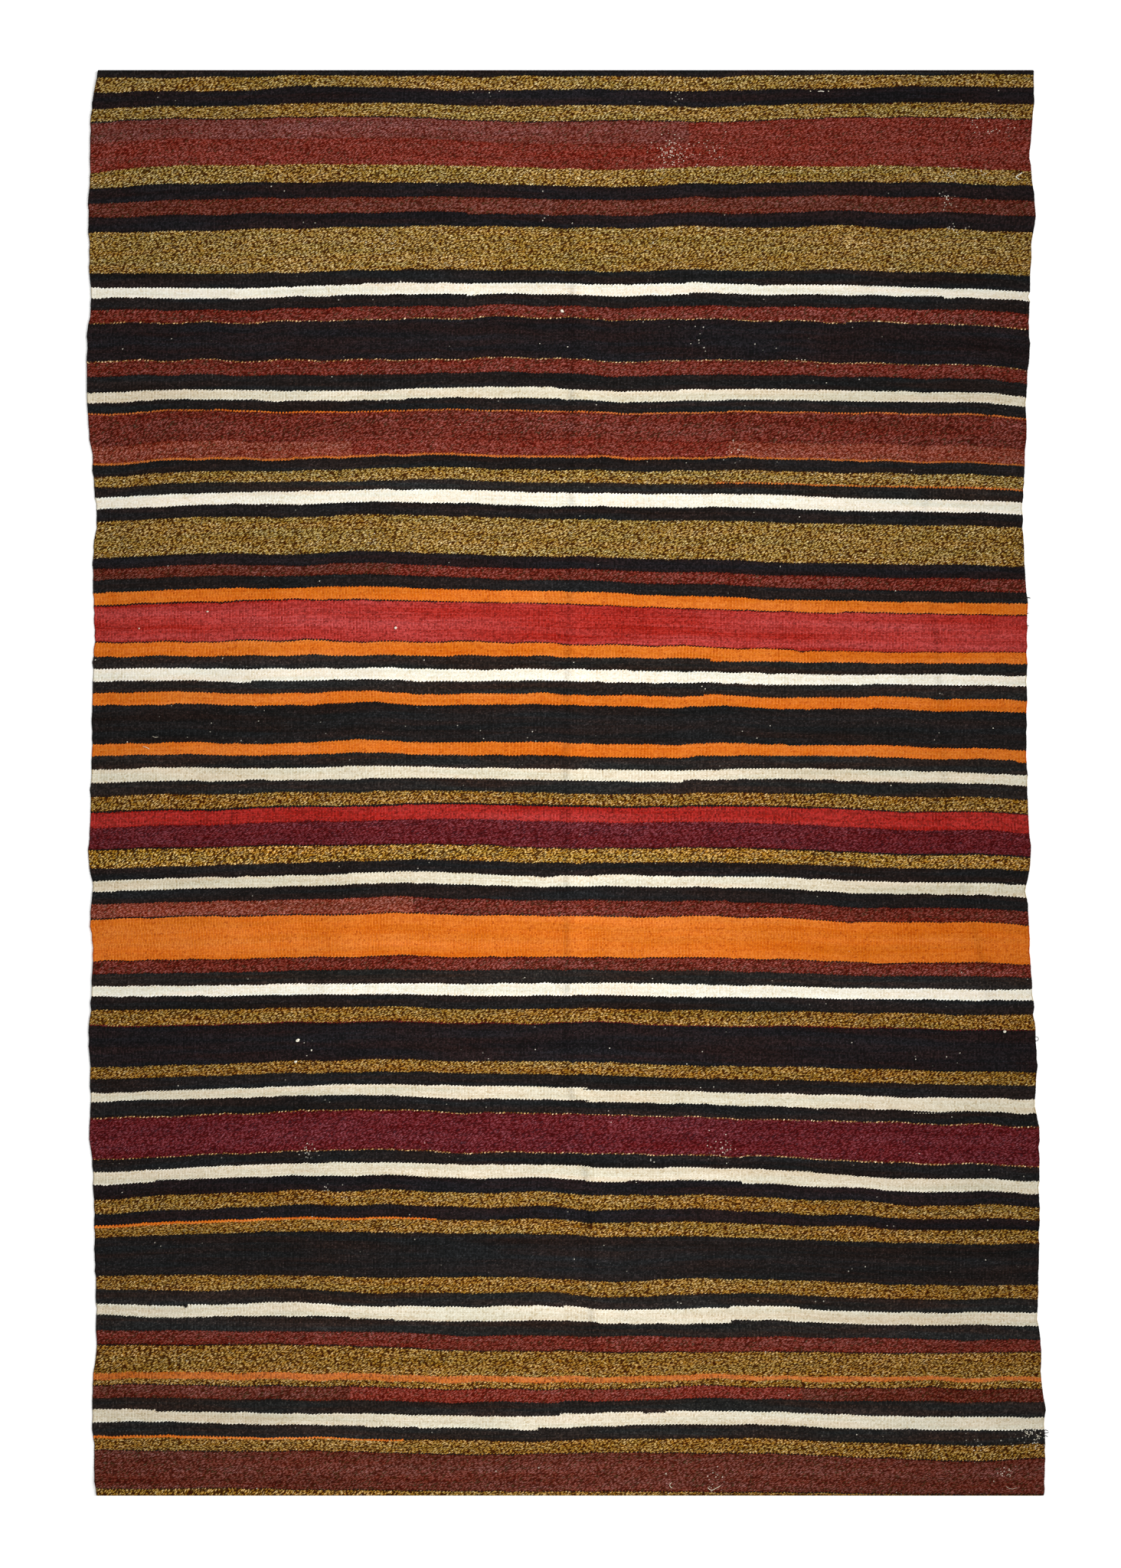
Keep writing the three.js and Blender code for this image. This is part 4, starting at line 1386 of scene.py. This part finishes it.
def grow(name, points, facing, yarns, tree, sizes, sides):
    """The plain mesh that a tree makes of some points. Each of its inputs is set by its identifier."""
    mesh = new_mesh(name, np.array(points) * MM, [])
    set_attribute(mesh, "facing", "POINT", facing)
    set_attribute(mesh, "yarn_here", "POINT", yarns)
    # Painted shade: most of the colour of these strands is the dark ply's.
    set_attribute(mesh, "unshaded_share", "POINT", np.full(len(points), UNSHADED_AT_EDGES))
    piece = new_piece(name, mesh)
    modifier = piece.modifiers.new(name, "NODES")
    modifier.node_group = tree
    for item in tree.interface.items_tree:
        if item.in_out == "INPUT" and item.name in sizes:
            modifier[item.identifier] = sizes[item.name]
    depsgraph = bpy.context.evaluated_depsgraph_get()
    grown = bpy.data.meshes.new_from_object(piece.evaluated_get(depsgraph), depsgraph=depsgraph)
    piece.modifiers.remove(modifier)
    piece.data = grown
    grown.name = name
    lay_out(grown, len(points), sides)
    return piece


def selvedge_turns(net, material):
    """The weft's turns round the outermost warps, one bight after another down both woven edges."""
    field = [number for number, row in enumerate(ROWS) if row.end == "field"]
    places = np.arange(FOLD_CENTRE + 1, LENGTH - FOLD_CENTRE - 1, TURN_PITCH)
    points, facing, yarns = [], [], []
    for column, outward in ((0, -1), (-1, 1)):
        down = net.down[field, column]
        line = np.interp(places, down, net.across[field, column]) - outward * TURN_INSET
        height = np.interp(places, down, net.up[field, column])
        sides = SIDES[:, int(np.argmin(np.abs(ACROSS - line.mean())))]
        for place, x, z in zip(places, line, height):
            stripe = min(len(PLAN) - 1, int(np.searchsorted(sides, place)) - 1)
            points.append((x, LENGTH / 2 - place, z))
            facing.append(0.0 if outward > 0 else math.pi)
            yarns.append(yarn_of(stripe, np.array(x)))

    sizes = {
        "Radius": TURN_RADIUS * MM,
        "Thickness": TURN_THICKNESS * MM,
        "Flattened": TURN_FLATTENED,
        "Sweep": math.radians(TURN_SWEEP),
        "Lean": math.radians(TURN_LEAN),
        "Seed": SEED,
        "Material": material,
    }
    tree, given = new_tree("Turns of the weft", sizes)
    half_turn = add(tree, "ShaderNodeMath", {0: given["Sweep"], 1: -0.5}, operation="MULTIPLY")
    arc = {"Resolution": TURN_STEPS, "Radius": given["Radius"]}
    arc.update({"Start Angle": half_turn, "Sweep Angle": given["Sweep"]})
    arc = add(tree, "GeometryNodeCurveArc", arc)
    half_thick = add(tree, "ShaderNodeMath", {0: given["Thickness"], 1: 0.5}, operation="MULTIPLY")
    ring = add(tree, "GeometryNodeCurvePrimitiveCircle", {"Resolution": TURN_SIDES, "Radius": half_thick})
    bight = add(tree, "GeometryNodeCurveToMesh", {"Curve": arc, "Profile Curve": ring, "Fill Caps": True})
    flattened = add(tree, "ShaderNodeCombineXYZ", {0: 1.0, 1: 1.0, 2: given["Flattened"]})
    bight = add(tree, "GeometryNodeTransform", {"Geometry": bight, "Scale": flattened})
    bight = add(tree, "GeometryNodeTransform", {"Geometry": bight, "Rotation": (math.pi / 2, 0, 0)})
    set_along(tree, given, bight)
    return grow("selvedge_turns", points, facing, yarns, tree, sizes, TURN_SIDES)


def hem_stitches(material):
    """Whip stitches over the raw edge of each hem, on the underside."""
    points, facing = [], []
    for down, inward in ((HEM_DEPTH, -1), (LENGTH - HEM_DEPTH, 1)):
        for across in np.arange(left_edge(down) + STITCH_PITCH, right_edge(down), STITCH_PITCH):
            points.append((across, LENGTH / 2 - down, 0.0))
            facing.append(0.0 if inward > 0 else math.pi)
    yarns = [YARN_NAMES.index("black")] * len(points)

    sizes = {
        "Thickness": STITCH_THICKNESS * MM,
        "Lean": math.radians(STITCH_LEAN),
        "Seed": SEED,
        "Material": material,
    }
    tree, given = new_tree("Whip stitches of the hems", sizes)
    start, middle, end = (tuple(c * MM for c in place) for place in STITCH_PATH)
    bend = add(
        tree,
        "GeometryNodeCurveQuadraticBezier",
        {"Resolution": STITCH_STEPS, "Start": start, "Middle": middle, "End": end},
    )
    half_thick = add(tree, "ShaderNodeMath", {0: given["Thickness"], 1: 0.5}, operation="MULTIPLY")
    ring = add(tree, "GeometryNodeCurvePrimitiveCircle", {"Resolution": TURN_SIDES, "Radius": half_thick})
    stitch = add(tree, "GeometryNodeCurveToMesh", {"Curve": bend, "Profile Curve": ring, "Fill Caps": True})
    set_along(tree, given, stitch)
    return grow("hem_stitches", points, facing, yarns, tree, sizes, TURN_SIDES)


def pale_floor():
    """White floor of a product studio, lit from below too, so that no shadow or edge of light shows on it."""
    material, tree = new_material("Matt white studio floor")
    paint = add(
        tree,
        "ShaderNodeBsdfPrincipled",
        {
            "Base Color": linear("#f4f4f3"),
            "Roughness": 0.9,
            "Specular IOR Level": 0.1,
            "Emission Color": (1.0, 1.0, 1.0, 1.0),
            "Emission Strength": 0.45,
        },
    )
    add(tree, "ShaderNodeOutputMaterial", {"Surface": paint})
    reach, low = 60.0, -0.0003
    corners = [(-reach, -reach, low), (reach, -reach, low), (reach, reach, low), (-reach, reach, low)]
    return new_piece("floor", new_mesh("floor", corners, [(0, 1, 2, 3)]), material)


def photo_camera():
    """Straight above the rug, far enough for the view to be as flat as the photograph's."""
    lens, sensor = 100.0, 36.0
    data = bpy.data.cameras.new("camera")
    data.lens = lens
    data.sensor_width = sensor
    camera = bpy.data.objects.new("camera", data)
    bpy.context.scene.collection.objects.link(camera)
    distance = PHOTO_HEIGHT * MM_PER_PIXEL * MM * lens / sensor
    aim_across = (PHOTO_WIDTH / 2 - RUG_MIDDLE_PIXEL[0]) * MM_PER_PIXEL * MM
    aim_along = (RUG_MIDDLE_PIXEL[1] - PHOTO_HEIGHT / 2) * MM_PER_PIXEL * MM
    camera.location = (aim_across, aim_along, distance)
    bpy.context.scene.camera = camera


def studio_light():
    """A long soft box above the rug, a soft low light from the right, and even fill."""
    scene = bpy.context.scene
    scene.view_settings.view_transform = "Standard"
    world = bpy.data.worlds.new("even fill")
    world.use_nodes = True
    world.node_tree.nodes["Background"].inputs["Color"].default_value = (1, 1, 1, 1)
    world.node_tree.nodes["Background"].inputs["Strength"].default_value = 0.17
    scene.world = world

    box = bpy.data.lights.new("soft box", "AREA")
    box.shape = "RECTANGLE"
    box.size = 0.7
    box.size_y = 3.8
    box.energy = 30.5
    box_lamp = bpy.data.objects.new("soft box", box)
    box_lamp.location = (0.0, 0.0, 1.2)
    box_lamp.visible_camera = False
    scene.collection.objects.link(box_lamp)

    slant = bpy.data.lights.new("low light", "SUN")
    slant.energy = 3.15
    slant.angle = math.radians(20)
    slant_lamp = bpy.data.objects.new("low light", slant)
    slant_lamp.rotation_euler = (math.radians(-14), math.radians(63), 0)
    scene.collection.objects.link(slant_lamp)


photo_camera()
studio_light()
net = cloth_net()
cloth = make_cloth(net, handspun_wool())
yarn = twisted_yarn()
strands = [selvedge_turns(net, yarn), hem_stitches(yarn), warp_knots(yarn), loose_threads(yarn)]
for piece in [cloth, *strands]:
    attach(piece, "root")
    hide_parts("kilim")
pale_floor()
